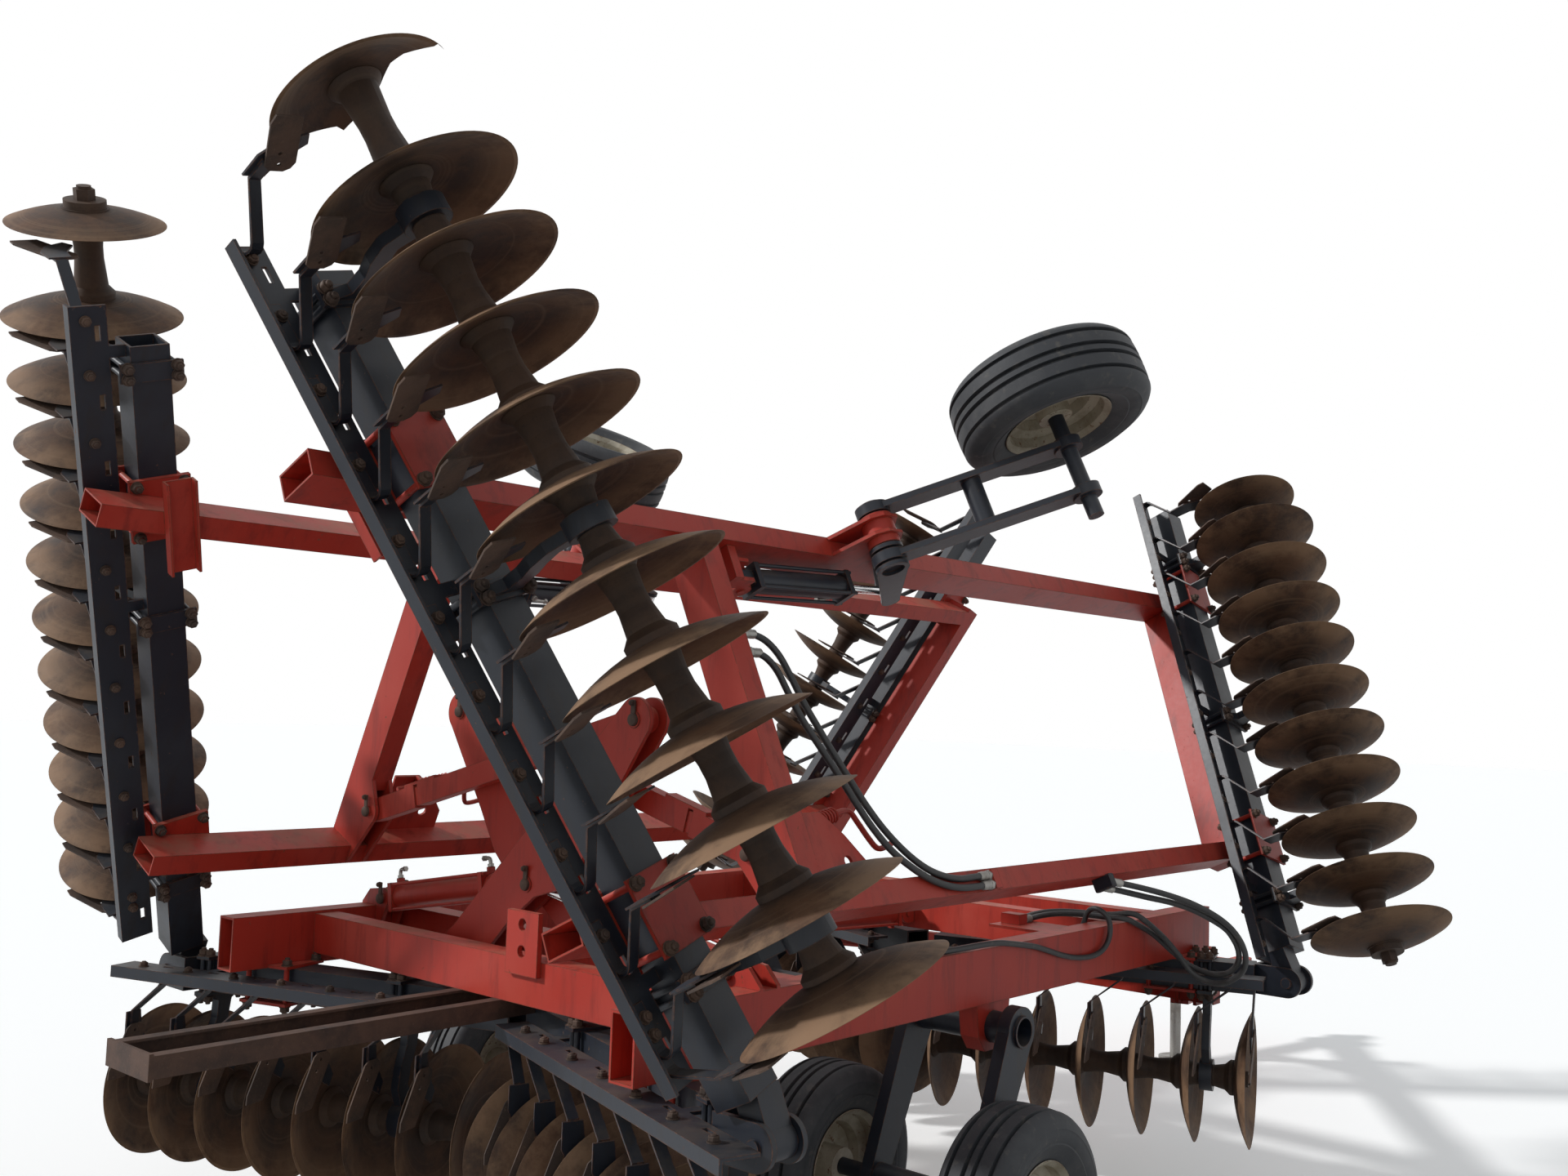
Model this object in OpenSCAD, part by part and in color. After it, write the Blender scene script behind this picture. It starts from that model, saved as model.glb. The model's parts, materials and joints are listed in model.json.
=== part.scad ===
// Folding tandem disc harrow, wings folded for transport.
// +Y is the direction of travel, +X the machine's right-hand side, +Z up.
// Wing parts are drawn unfolded, as in work, and turned up about the wing hinges.

/* [Stance] */
// Height of the gang axles above the ground in transport
axle_h = 510; // [490:5:540]
// Half the distance between the front and rear gang lines on the centreline
gang_y = 1190; // [1180:5:1220]
// Angle of every gang to the machine's cross line, in degrees
gang_angle = 18; // [16:0.5:19]
// Lean of the folded wings past upright, in degrees
fold_lean = 25; // [20:1:28]

/* [Discs] */
// Diameter of a blade
blade_d = 576; // [540:4:590]
// Depth of a blade's dish
blade_dish = 72; // [60:1:80]
// Thickness of a blade
blade_t = 6; // [5:0.5:8]
// Spacing of the blades along an axle
pitch = 229; // [222:1:236]
// Diameter of the smaller blade on the outer end of a wing gang
end_blade_d = 500; // [460:4:520]
// Spacing of the smaller blade on the rear wing gangs
end_gap = 300; // [280:5:310]
// Diameter of a spool's flared end
spool_d = 150; // [130:2:160]
// Diameter of a spool's waist and of the bearing journals
waist_d = 92; // [84:2:100]
// Radial clearance of the gang bearings
bearing_gap = 0.5; // [0.4:0.1:1]

/* [Frame] */
// Height of the gang tubes' middle above the axles
tube_rise = 440; // [430:5:450]
// Side of the square gang tubes
gang_tube = 127; // [120:1:130]
// Wall of the gang tubes
gang_wall = 8; // [6:1:10]
// Distance of the main rails from the centreline
rail_x = 1100; // [1080:5:1120]
// Width of a main rail
rail_w = 100; // [90:2:110]
// Height of a main rail
rail_h = 200; // [190:2:204]
// Wall of the main rails
rail_wall = 8; // [6:1:10]
// Height of the cross-members
cross_h = 150; // [130:5:160]
// Distance of the wing hinge from the centreline
hinge_x = 1585; // [1575:5:1600]
// Diameter of the wing hinge pins
hinge_pin_d = 44; // [38:2:48]

/* [Wings] */
// Width of the wing rails
wrail_w = 80; // [70:2:90]
// Height of the wing rails
wrail_h = 150; // [130:5:160]
// Place of the inner wing rail across the machine, unfolded
wrail_in = 2210; // [2180:10:2240]
// Place of the outer wing rail across the machine, unfolded
wrail_out = 3520; // [3490:10:3540]

/* [Wheels] */
// Diameter of a tyre
tyre_d = 740; // [720:10:770]
// Width of a tyre
tyre_w = 270; // [240:5:280]
// Diameter of a wheel rim's bead seat
rim_d = 386; // [370:2:400]
// Diameter of the lift rockshaft
shaft_d = 114; // [102:2:118]
// Length of a transport wheel's arm, shaft to spindle
arm_len = 608; // [600:2:640]
// Diameter of the twin wheels' spindle
spindle_d = 60; // [50:2:64]

/* [Fold] */
// Thickness of a mast's plates
mast_t = 16; // [12:1:17]
// Gap between the two plates of a mast
mast_gap = 60; // [58:1:62]
// Diameter of the fold linkage pins
fold_pin_d = 38; // [32:2:40]
// Outside diameter of a fold cylinder
fold_cyl_d = 102; // [90:2:104]
// Diameter of a fold cylinder's rod
fold_rod_d = 44; // [38:2:50]

/* [Tongue] */
// Reach of the hitch pin ahead of the middle of the machine
hitch_y = 4850; // [4700:50:5000]
// Height of the hitch pin
hitch_h = 440; // [420:5:470]
// Diameter of the hitch pin's hole
hitch_bore = 34; // [30:1:40]

/* [Hidden] */

red = "#b8392e";
black = "#23262e";
rust = "#5b3d31";
brown = "#4a332b";
cream = "#cfc6ad";
rubber = "#2a2a2c";
chrome = "#c9ccd0";

// Heights above the ground
tube_z = axle_h + tube_rise;
tube_top = tube_z + gang_tube/2;
rail_z = tube_top + rail_h/2;
rail_top = rail_z + rail_h/2;
cross_w = 100;
cross_z = rail_top - 10 - cross_h/2;
hinge_z = tube_z;
pad_t = 20;
wrail_z = tube_top + pad_t + wrail_h/2;
wrail_wall = 6;

// Gang lines: y on the line through a gang's axle at cross place x
slope = tan(gang_angle);
function front_line(x) = gang_y + x*slope;
function rear_line(x) = -gang_y - x*slope;
function gang_line(front, x) = front ? front_line(x) : rear_line(x);

// Each gang: number of blades, x of the innermost rim, hollow side (1 outward, -1 inward),
// gap before the smaller end blade (0 for none), true where the inner end is a flat bumper
N = 0;
X0 = 1;
HOLLOW = 2;
END_GAP = 3;
BUMPER = 4;
inner_step = pitch*cos(gang_angle);
front_inner = [7, 1422 - 6*inner_step, 1, 0, true];
rear_inner = [8, 1651 - 7*inner_step, -1, 0, false];
front_outer = [11, 1664, 1, pitch, false];
rear_outer = [12, 1840, -1, end_gap, false];
// Spools that run in a bearing, counted from the inner end
front_inner_bearings = [1, 5];
rear_inner_bearings = [1, 5];
front_outer_bearings = [1, 5, 9];
rear_outer_bearings = [0, 5, 9];
// The origin is under the middle of the machine's length
rear_reach = -rear_line(rear_outer[X0] + blade_at(rear_outer, rear_outer[N] - 1)*cos(gang_angle))
    + (blade_dish - dish_of(end_blade_d))*sin(gang_angle) + end_blade_d/2*cos(gang_angle);
clevis_nose = 52;
front_reach = hitch_y + clevis_nose;
y_shift = (rear_reach - front_reach)/2;

function gang_of(front, outer) =
    outer ? (front ? front_outer : rear_outer) : (front ? front_inner : rear_inner);
function bearings_of(front, outer) = outer ? (front ? front_outer_bearings : rear_outer_bearings)
    : (front ? front_inner_bearings : rear_inner_bearings);

axle_d = 46;
nut_af = 60;
nut_h = 36;
end_flange = 26;
end_axle = 72;
bearing_w = 56;
bearing_od = waist_d + 44;
journal = bearing_w + 16;

module at_origin() {
    translate([0, y_shift, 0])
        children();
}

module side(s) {
    if (s < 0) mirror([1, 0, 0]) children();
    else children();
}

// Turns what is drawn unfolded up into its folded place
fold_turn = 90 + fold_lean;
module folded() {
    translate([hinge_x, 0, hinge_z])
        rotate([0, -fold_turn, 0])
            translate([-hinge_x, 0, -hinge_z])
                children();
}

module box(x, y, z, w, d, h) {
    translate([x - w/2, y - d/2, z - h/2]) cube([w, d, h]);
}

// Rectangular tube along Y, open at both ends
module tube_y(x, z, w, h, y0, y1, wall) {
    difference() {
        translate([x - w/2, y0, z - h/2]) cube([w, y1 - y0, h]);
        translate([x - w/2 + wall, y0 - 1, z - h/2 + wall])
            cube([w - 2*wall, y1 - y0 + 2, h - 2*wall]);
    }
}

// Round bars and bores along Y and X
module rod_y(x, y0, y1, z, d) {
    translate([x, y0, z]) rotate([-90, 0, 0]) cylinder(h = y1 - y0, d = d, $fn = 48);
}

module rod_x(x0, x1, y, z, d) {
    translate([x0, y, z]) rotate([0, 90, 0]) cylinder(h = x1 - x0, d = d, $fn = 48);
}

// Plate across the machine from an outline in X and Z, its rear face at y
module plate_xz(y, t) {
    translate([0, y + t, 0]) rotate([90, 0, 0]) linear_extrude(height = t) children();
}

// Plate along the machine from an outline in Y and Z, its left face at x
module plate_yz(x, t) {
    translate([x, 0, 0]) rotate([90, 0, 90]) linear_extrude(height = t) children();
}

// Straight beam of w by h from point p to point q
module beam(p, q, w, h) {
    d = q - p;
    translate(p) rotate([0, -asin(d[2]/norm(d)), atan2(d[1], d[0])])
        translate([0, -w/2, -h/2]) cube([norm(d), w, h]);
}

// Frame of a gang: X along the axle from the first rim outward, Y forward, Z up from the axle
module gang_place(front, x0) {
    translate([x0, gang_line(front, x0), axle_h])
        rotate([0, 0, front ? gang_angle : -gang_angle]) children();
}

// Blades, spools and axle of a gang

function blade_at(g, k) =
    k == g[N] - 1 && g[END_GAP] > 0 ? (k - 1)*pitch + g[END_GAP] : k*pitch;
function blade_size(g, k) = k == g[N] - 1 && g[END_GAP] > 0 ? end_blade_d : blade_d;
function ball_r() = (blade_d*blade_d/4 + blade_dish*blade_dish)/(2*blade_dish);
function dish_of(d) = ball_r() - sqrt(ball_r()*ball_r() - d*d/4);
// Blade centres lie a full dish behind the rim, so all centres keep the pitch
function center_at(g, k) = blade_at(g, k) - g[HOLLOW]*blade_dish;
function spool_mid(g, k) = (center_at(g, k) + center_at(g, k + 1))/2;

// Half section of a blade with its centre at height v, hollow towards dir
module blade_section(v, dir, d) {
    intersection() {
        difference() {
            translate([0, v + dir*ball_r()]) circle(r = ball_r(), $fn = 180);
            translate([0, v + dir*ball_r()]) circle(r = ball_r() - blade_t, $fn = 180);
        }
        translate([0, dir > 0 ? v - 1 : v - dish_of(d) - 1]) square([d/2, dish_of(d) + 2]);
    }
}

// Half section of a spool between two blade centres
module spool_section(z0, z1, bearing) {
    m = (z0 + z1)/2;
    f = bearing ? journal/2 : 20;
    polygon([[0, z0], [spool_d/2, z0], [spool_d/2, z0 + 14], [waist_d/2 + 9, z0 + 36], [waist_d/2, m - f],
        [waist_d/2, m + f], [waist_d/2 + 9, z1 - 36], [spool_d/2, z1 - 14], [spool_d/2, z1], [0, z1]]);
}

module end_nut(z) {
    translate([0, 0, z]) cylinder(h = nut_h, d = nut_af/cos(30), $fn = 6);
}

module gang_solid(g, bearings) {
    v0 = center_at(g, 0);
    v1 = center_at(g, g[N] - 1);
    rotate([0, 90, 0]) {
        rotate_extrude($fn = 96) {
            for (k = [0:g[N] - 1]) blade_section(center_at(g, k), g[HOLLOW], blade_size(g, k));
            for (k = [0:g[N] - 2])
                spool_section(center_at(g, k), center_at(g, k + 1), len(search(k, bearings)) > 0);
            translate([0, v0 - (g[BUMPER] ? 14 : end_flange)])
                square([g[BUMPER] ? 40 : spool_d/2 - 8, end_flange]);
            translate([0, v1]) square([spool_d/2 - 8, end_flange]);
            translate([0, v0]) square([axle_d/2, v1 - v0 + end_axle]);
            if (!g[BUMPER]) translate([0, v0 - end_axle]) square([axle_d/2, end_axle + 1]);
        }
        if (!g[BUMPER]) end_nut(v0 - end_flange - nut_h);
        end_nut(v1 + end_flange);
    }
}

// The bite out of the last blade of the right rear wing gang, in Y and Z about its axle
bite = [[96, 330], [330, 330], [330, -120], [95, -230], [52, -150], [50, -100], [78, -20], [100, 60],
    [60, 160], [33, 152], [-84, 190], [-150, 118], [-190, 132], [-262, 160], [-330, 330]];

module gang(front, outer, s) {
    g = gang_of(front, outer);
    last = g[N] - 1;
    color(rust) at_origin() side(s)
        if (outer) folded() gang_place(front, g[X0]) difference() {
            gang_solid(g, bearings_of(front, outer));
            if (!front && s > 0)
                plate_yz(blade_at(g, last) - 2, dish_of(end_blade_d) + 30) difference() {
                    polygon(bite);
                    circle(r = spool_d/2 + 1, $fn = 48);
                }
        }
        else gang_place(front, g[X0]) gang_solid(g, bearings_of(front, outer));
}

// Gang beams with their bearing hangers, in the gang's own frame

strap_w = 64;
strap_t = 12;
bolt_d = 20;
bolt_out = gang_tube/2 + 16;
foot_z = tube_rise - gang_tube/2;

// Cast bearing ring on a curved arm, clamped round the gang tube
module hanger(x) {
    difference() {
        union() {
            rod_x(x - bearing_w/2, x + bearing_w/2, 0, 0, bearing_od);
            plate_yz(x - 17, 34)
                polygon([[-40, 55], [-64, 120], [-52, 200], [-24, 270], [-20, foot_z - 40], [-60, foot_z - 14],
                    [60, foot_z - 14], [46, foot_z - 44], [34, 260], [8, 196], [-6, 130], [30, 60]]);
        }
        rod_x(x - bearing_w, x + bearing_w, 0, 0, waist_d + 2*bearing_gap);
    }
    box(x, 0, foot_z - strap_t/2, strap_w, 2*bolt_out + 44, strap_t + 4);
    box(x, 0, tube_rise + gang_tube/2 + strap_t/2, strap_w, 2*bolt_out + 44, strap_t);
    for (y = [-bolt_out, bolt_out]) for (e = [-1, 1])
        translate([x + e*18, y, foot_z - 26]) cylinder(h = gang_tube + 52, d = bolt_d, $fn = 24);
}

module gang_beam(x0, x1) {
    difference() {
        translate([x0, -gang_tube/2, foot_z]) cube([x1 - x0, gang_tube, gang_tube]);
        translate([x0 - 1, -gang_tube/2 + gang_wall, foot_z + gang_wall])
            cube([x1 - x0 + 2, gang_tube - 2*gang_wall, gang_tube - 2*gang_wall]);
    }
}

// Scraper bar behind the beam, with an arm and a scraper for each blade

bar_y = -172;
bar_w = 115;
bar_t = 10;
bar_z = tube_rise + 18;
arm_w = 38;

bend_r = 30;
run = 150;
arm_t = 8;
plate_out = blade_t + 13;
plate_in = blade_t + 7;
arm_top = bar_z + 1 - arm_t/2;
arm_drop = 300;

// Stroke of a scraper's arm in X and Z from its bend at the origin: along the bar, round the bend
// and down to the scraper, tu across from the bend
module arm_outline(tu, len) {
    across = tu - bend_r;
    down = arm_top - bend_r - arm_drop;
    a = acos(bend_r/norm([across, down])) - atan2(across, down);
    steps = [0:5];
    turn = (180 - a)/5;
    c = [bend_r, arm_top - bend_r];
    h = arm_t/2;
    polygon(concat([[len, arm_top + h]],
        [for (i = steps) c + (bend_r + h)*[cos(90 + i*turn), sin(90 + i*turn)]],
        [[tu - h, arm_drop], [tu - h, arm_drop - 78], [tu + h, arm_drop - 78], [tu + h, arm_drop]],
        [for (i = steps) c + (bend_r - h)*[cos(90 + (5 - i)*turn), sin(90 + (5 - i)*turn)]],
        [[len, arm_top - h]]));
}

// dir is the blade's hollow side; the bar runs from lo to hi
module scraper(x, dir, lo, hi) {
    bend = max(lo + 40, min(hi - 40, x + dir*(plate_out + arm_t/2 + 137)));
    reach = -dir*(x + dir*(plate_out + arm_t/2) - bend);
    len = min(run, (dir < 0 ? hi - bend : bend - lo) - 8);
    translate([bend, 0, 0]) scale([-dir, 1, 1]) {
        plate_xz(bar_y - 28, arm_w) arm_outline(reach, len);
        translate([len - 40, bar_y - 28 + arm_w/2, arm_top - 22]) cylinder(h = 50, d = 18, $fn = 24);
    }
    translate([x + dir*(plate_out + plate_in)/2 - (plate_out - plate_in)/2, 0, 0])
        plate_yz(0, plate_out - plate_in)
            polygon([[-218, 296], [-150, 296], [-141, 226], [-98, 152], [-118, 112], [-186, 152], [-218, 214]]);
}

// Each tab stands beside a bearing's strap, tab from the bearing's middle
module scraper_bar(x0, x1, g, bearings, tab, first = 0) {
    difference() {
        union() {
            translate([x0, bar_y - bar_w/2, bar_z]) cube([x1 - x0, bar_w, bar_t]);
            translate([x0, bar_y - bar_w/2, bar_z - 34]) cube([x1 - x0, bar_t, 38]);
        }
        for (k = [first:g[N] - 2]) translate([blade_at(g, k) + 60, bar_y + 18, bar_z - 1]) {
            cube([50, 16, bar_t + 2]);
        }
    }
    for (k = [first:g[N] - 1]) scraper(blade_at(g, k), g[HOLLOW], x0, x1);
    for (k = bearings)
        translate([spool_mid(g, k) + tab, bar_y + bar_w/2 - 4, bar_z])
            cube([40, -gang_tube/2 - bar_y - bar_w/2 + 4, bar_t]);
}

// Clamp of a rail on a gang tube: plate t thick above, plate below and four bolts
module rail_clamp(front, x, t) {
    gang_place(front, x) {
        box(0, 0, tube_rise + gang_tube/2 + t/2, 224, 2*bolt_out + 44, t);
        box(0, 0, foot_z - strap_t/2, 224, 2*bolt_out + 44, strap_t);
        for (e = [-1, 1]) for (y = [-bolt_out, bolt_out])
            translate([e*92, y, foot_z - 28]) cylinder(h = gang_tube + t + 52, d = bolt_d, $fn = 24);
    }
}

// Middle frame

y_cross_rear = -1400;
y_cross_mast = -1010;
y_cross_lift = 1080;
y_cross_front = 1480;
rail_rear = -1790;
rail_front = 1815;

shaft_y = 20;
shaft_z = axle_h + 415;

// The right wing's mast in X and Z: pivot, pin of the link, pin of the cylinder
mast_pivot = [350, axle_h + 620];
mast_top = [-550, axle_h + 1500];
mast_cyl = [-28, axle_h + 905];
cyl_base = [-1010, axle_h + 735];
// Pin of the link on the right wing, folded
link_pin = [985, axle_h + 1090];
// Middle planes of the left and the right wing's mast and link
mast_plane = [-1235, -1130];
function plane_of(s) = mast_plane[s < 0 ? 0 : 1];
mast_half = mast_gap/2 + mast_t;
pivot_d = 60;
running = 0.5;

// Lift cylinder in Y and Z: base pin and rod pin
lift_base = [980, axle_h + 615];
lift_arm = 260;
lever_angle = 110;
lift_pin = [shaft_y + lift_arm*cos(lever_angle), shaft_z + lift_arm*sin(lever_angle)];
lift_pin_d = 32;

// Pair of ears on pin axis (y, z) that reach forward or back to the face at y1
module lift_ears(y, z, y1, gap, t) {
    for (e = [-1, 1]) plate_yz(e*(gap/2 + t/2) - t/2, t) difference() {
        union() {
            translate([y, z]) circle(d = 90, $fn = 48);
            translate([min(y, y1), z - 45]) square([abs(y1 - y), 90]);
        }
        translate([y, z]) circle(d = lift_pin_d, $fn = 32);
    }
    rod_x(-gap/2 - t - 8, gap/2 + t + 8, y, z, lift_pin_d);
}

module rockshaft_bearing(x) {
    difference() {
        plate_yz(x - 40, 80)
            polygon([[shaft_y - 110, rail_z - rail_h/2], [shaft_y + 110, rail_z - rail_h/2],
                [shaft_y + 92, shaft_z - 30], [shaft_y + 50, shaft_z - 84],
                [shaft_y - 50, shaft_z - 84], [shaft_y - 92, shaft_z - 30]]);
        rod_x(x - 60, x + 60, shaft_y, shaft_z, shaft_d + 2*running);
    }
}

// Ears that carry a fold cylinder's base on the main rail of side s
module cylinder_ears(s) {
    y = plane_of(-s);
    side(s) for (e = [-1, 1]) plate_xz(y + e*(mast_gap/2 + 8) - 8, 16) difference() {
        union() {
            polygon([[rail_x - rail_w/2, rail_top - 150], [rail_x - rail_w/2, rail_top], [rail_x + rail_w/2, rail_top],
                [rail_x + rail_w/2, rail_top + 8], [rail_x, cyl_base[1] + 30], [-cyl_base[0], cyl_base[1] + 42],
                [-cyl_base[0] - 42, cyl_base[1]], [-cyl_base[0] - 30, cyl_base[1] - 30]]);
            translate([-cyl_base[0], cyl_base[1]]) circle(r = 42, $fn = 48);
        }
        translate([-cyl_base[0], cyl_base[1]]) circle(d = fold_pin_d, $fn = 32);
    }
    side(s) rod_y(-cyl_base[0], y - mast_half - 8, y + mast_half + 8, cyl_base[1], fold_pin_d);
}

// Hoses: routes in X and Y on the machine, Z from the height of the axles. Each leaves its fitting
// along Y

hose_d = 22;
wing_hose_d = 24;
hose_sides = 8;
hose_steps = 2;
manifold = [864, 594, 716];
rail_clip = [1118, -922];
bay_port = [950, 1004, 640];

rail_hose_route = [[1118, -902, 716], [1118, -800, 716], [1120, -660, 715.5], [1124, -500, 715.5],
    [1130, -340, 715.5], [1140, -190, 717], [1152, -80, 720], [1162, 10, 719], [1163, 90, 709],
    [1163, 180, 695], [1163, 270, 679], [1163, 360, 656], [1163, 450, 631], [1164, 550, 610],
    [1165, 640, 600], [1166, 720, 600], [1168, 786, 616], [1170, 826, 650], [1171, 838, 692],
    [1167, 832, 730], [1151, 820, 758], [1122, 815, 772], [1090, 823, 766], [1062, 842, 744],
    [1036, 868, 710], [1010, 896, 680], [982, 926, 658], [956, 956, 644], [950, 984, 640],
    [950, 1004, 640]];
wing_feed_route = [[884, 624, 716], [884, 690, 716], [879, 770, 718], [884, 850, 719], [912, 912, 720],
    [966, 946, 721], [1030, 956, 721], [1094, 966, 721], [1138, 986, 721], [1160, 1016, 714],
    [1168, 1056, 698], [1170, 1116, 676], [1174, 1186, 648], [1184, 1252, 611], [1211, 1310, 562],
    [1267, 1334, 516], [1318, 1340, 495], [1378, 1338, 485], [1430, 1332, 491], [1470, 1318, 508],
    [1510, 1290, 540], [1542, 1246, 576], [1560, 1200, 620], [1566, 1150, 664], [1558, 1090, 714],
    [1530, 1020, 756], [1474, 950, 798], [1416, 876, 826], [1354, 806, 844], [1290, 724, 866],
    [1238, 628, 888]];
wing_return_route = [[848, 624, 716], [848, 700, 716], [838, 790, 719], [844, 884, 721], [884, 950, 723],
    [950, 980, 724], [1024, 990, 725], [1090, 1004, 729], [1138, 1022, 737], [1174, 1048, 735],
    [1198, 1098, 704], [1205, 1180, 660], [1216, 1246, 616], [1254, 1290, 552], [1296, 1310, 490],
    [1342, 1322, 460], [1394, 1328, 450], [1450, 1324, 460], [1500, 1308, 488], [1544, 1280, 526],
    [1576, 1236, 574], [1592, 1184, 628], [1594, 1124, 682], [1578, 1060, 736], [1542, 992, 784],
    [1484, 922, 826], [1424, 850, 856], [1366, 784, 878], [1310, 706, 898], [1266, 640, 912]];
// On the right wing as it lies unfolded
wing_lift_route = [[3070, -1060, 560], [3070, -1018, 560], [3048, -982, 553], [2998, -964, 541],
    [2920, -964, 526], [2836, -958, 514], [2762, -936, 508], [2690, -904, 506], [2600, -862, 505],
    [2510, -822, 505], [2420, -776, 505], [2340, -716, 505], [2280, -640, 506], [2234, -556, 508.5],
    [2204, -466, 510.5], [2190, -380, 510.5], [2188, -290, 510.5], [2188, -200, 510.5]];
wing_lower_route = [[3140, -1060, 560], [3140, -1010, 560], [3114, -960, 552], [3056, -930, 540],
    [2964, -920, 526], [2870, -912, 515], [2780, -888, 508.5], [2690, -856, 506], [2600, -818, 505],
    [2506, -776, 505], [2414, -720, 505], [2330, -644, 505], [2270, -556, 508], [2236, -462, 510.5],
    [2222, -376, 510.5], [2222, -290, 510.5], [2222, -200, 510.5]];

function unit(v) = v/norm(v);
function curve(p, i, t) = let (a = p[max(i - 1, 0)], b = p[i], c = p[i + 1], d = p[min(i + 2, len(p) - 1)])
    b + (c - a)*t/2 + (2*a - 5*b + 4*c - d)*t*t/2 + (3*b - a - 3*c + d)*t*t*t/2;
function along(p) = [for (i = [0:len(p) - 2]) for (k = [0:hose_steps - 1]) curve(p, i, k/hose_steps),
    p[len(p) - 1]];
function turned(n, t) = unit(n - (n*t)*t);
// Directions across the line, each turned as little as possible from the one before
function sideways(t, n, i = 0) =
    i == len(t) ? [] : let (m = turned(n, t[i])) concat([m], sideways(t, m, i + 1));

// Round tube along a route, its ends square to the route's first and last stretch
module hose(route, d) {
    p = along(route);
    last = len(p) - 1;
    t = [for (i = [0:last]) i == 0 ? unit(route[1] - route[0])
        : i == last ? unit(route[len(route) - 1] - route[len(route) - 2]) : unit(p[i + 1] - p[i - 1])];
    n = sideways(t, [0, 0, 1]);
    ring = [for (i = [0:last]) for (k = [0:hose_sides - 1]) let (a = k*360/hose_sides)
        p[i] + d/2*(cos(a)*n[i] + sin(a)*cross(t[i], n[i]))];
    function at(i, k) = i*hose_sides + k % hose_sides;
    polyhedron(ring, concat([[for (k = [0:hose_sides - 1]) k]],
        [for (i = [0:last - 1]) for (k = [0:hose_sides - 1]) [at(i, k), at(i + 1, k), at(i + 1, k + 1)]],
        [for (i = [0:last - 1]) for (k = [0:hose_sides - 1]) [at(i, k), at(i + 1, k + 1), at(i, k + 1)]],
        [[for (k = [hose_sides - 1:-1:0]) last*hose_sides + k]]));
}

module frame_hose(route, d) {
    color(rubber) at_origin() translate([0, 0, axle_h]) hose(route, d);
}

module wing_hose(route) {
    color(rubber) at_origin() folded() translate([0, 0, axle_h]) hose(route, wing_hose_d);
}

// Fittings of the hoses on the frame
module hose_seats() {
    top = rail_top - axle_h;
    translate([0, 0, axle_h]) {
        translate([manifold[0] - 60, 500, top - 12]) cube([rail_x - rail_w/2 - manifold[0] + 62, 220, 10]);
        translate([manifold[0] - 44, manifold[1] - 30, top - 4]) cube([88, 60, 44]);
        translate([rail_clip[0] - 22, rail_clip[1] - 20, top - 1]) cube([44, 40, 28]);
        rod_y(bay_port[0], bay_port[1], y_cross_lift - cross_w/2 + 2, bay_port[2], 34);
    }
}

module main_frame() {
    color(red) at_origin() {
        hose_seats();
        for (s = [-1, 1]) {
            tube_y(s*rail_x, rail_z, rail_w, rail_h, rail_rear, rail_front, rail_wall);
            for (front = [true, false]) side(s) rail_clamp(front, rail_x, strap_t);
            rockshaft_bearing(s*rail_x);
            cylinder_ears(s);
            rod_y(s*mast_pivot[0], y_cross_rear + cross_w/2 - 4, y_cross_mast - cross_w/2 + 4, mast_pivot[1],
                pivot_d);
        }
        for (y = [y_cross_rear, y_cross_mast, y_cross_lift, y_cross_front])
            box(0, y, cross_z, 2*rail_x - rail_w, cross_w, cross_h);
        lift_ears(lift_base[0], lift_base[1], y_cross_lift - cross_w/2, 60, 16);
        plate_xz(y_cross_rear - cross_w/2 - 20, 20) difference() {
            translate([168, rail_top - 60]) square([164, 210]);
            for (z = [30, 118]) translate([250, rail_top + z - 12]) circle(d = 40, $fn = 32);
        }
    }
}

hinge_half = 60;
lug_t = 18;
lug_reach = 150;
wing_start = 132;
barrel_gap = 2;

// Ears on the end of a centre beam with the wing's hinge pin
module center_hinge(front) {
    y = gang_line(front, hinge_x);
    for (e = [-1, 1]) {
        translate([hinge_x - lug_reach, y + e*hinge_half - lug_t/2, hinge_z - gang_tube/2])
            cube([lug_reach, lug_t, gang_tube]);
        rod_y(hinge_x, y + e*hinge_half - lug_t/2, y + e*hinge_half + lug_t/2, hinge_z, gang_tube);
    }
    translate([hinge_x - lug_reach, y - hinge_half - lug_t/2, hinge_z - gang_tube/2])
        cube([18, 2*hinge_half + lug_t, gang_tube]);
    rod_y(hinge_x, y - hinge_half - lug_t, y + hinge_half + lug_t, hinge_z, hinge_pin_d);
}

module center_gang_beams() {
    color(black) at_origin() for (s = [-1, 1]) side(s) for (front = [true, false]) {
        g = gang_of(front, false);
        b = bearings_of(front, false);
        gang_place(front, g[X0]) {
            gang_beam(-60, (hinge_x - lug_reach + 4 - g[X0])/cos(gang_angle));
            for (k = b) hanger(spool_mid(g, k));
        }
        center_hinge(front);
    }
}

module center_scraper_bars() {
    color(black) at_origin() for (s = [-1, 1]) side(s) for (front = [true, false]) {
        g = gang_of(front, false);
        gang_place(front, g[X0])
            scraper_bar(front ? 30 : 90, blade_at(g, g[N] - 1) + 70, g, bearings_of(front, false),
                front ? 44 : -84, front ? 0 : 1);
    }
}

// Tongue, hitch and jack

tongue_bar = 70;
tongue_bar_y = 1725;
tongue_bar_z = axle_h + 320;
arm_x = 1050;
head_y = hitch_y - 290;
brace_y = 3760;
jack_od = 90;
jack_d = 64;
jack_y = brace_y + tongue_bar/2 + jack_od/2 + 12;

function tongue_at(y) = let (t = (y - tongue_bar_y)/(head_y - tongue_bar_y))
    [arm_x + t*(50 - arm_x), y, tongue_bar_z + t*(hitch_h - tongue_bar_z)];

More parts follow.
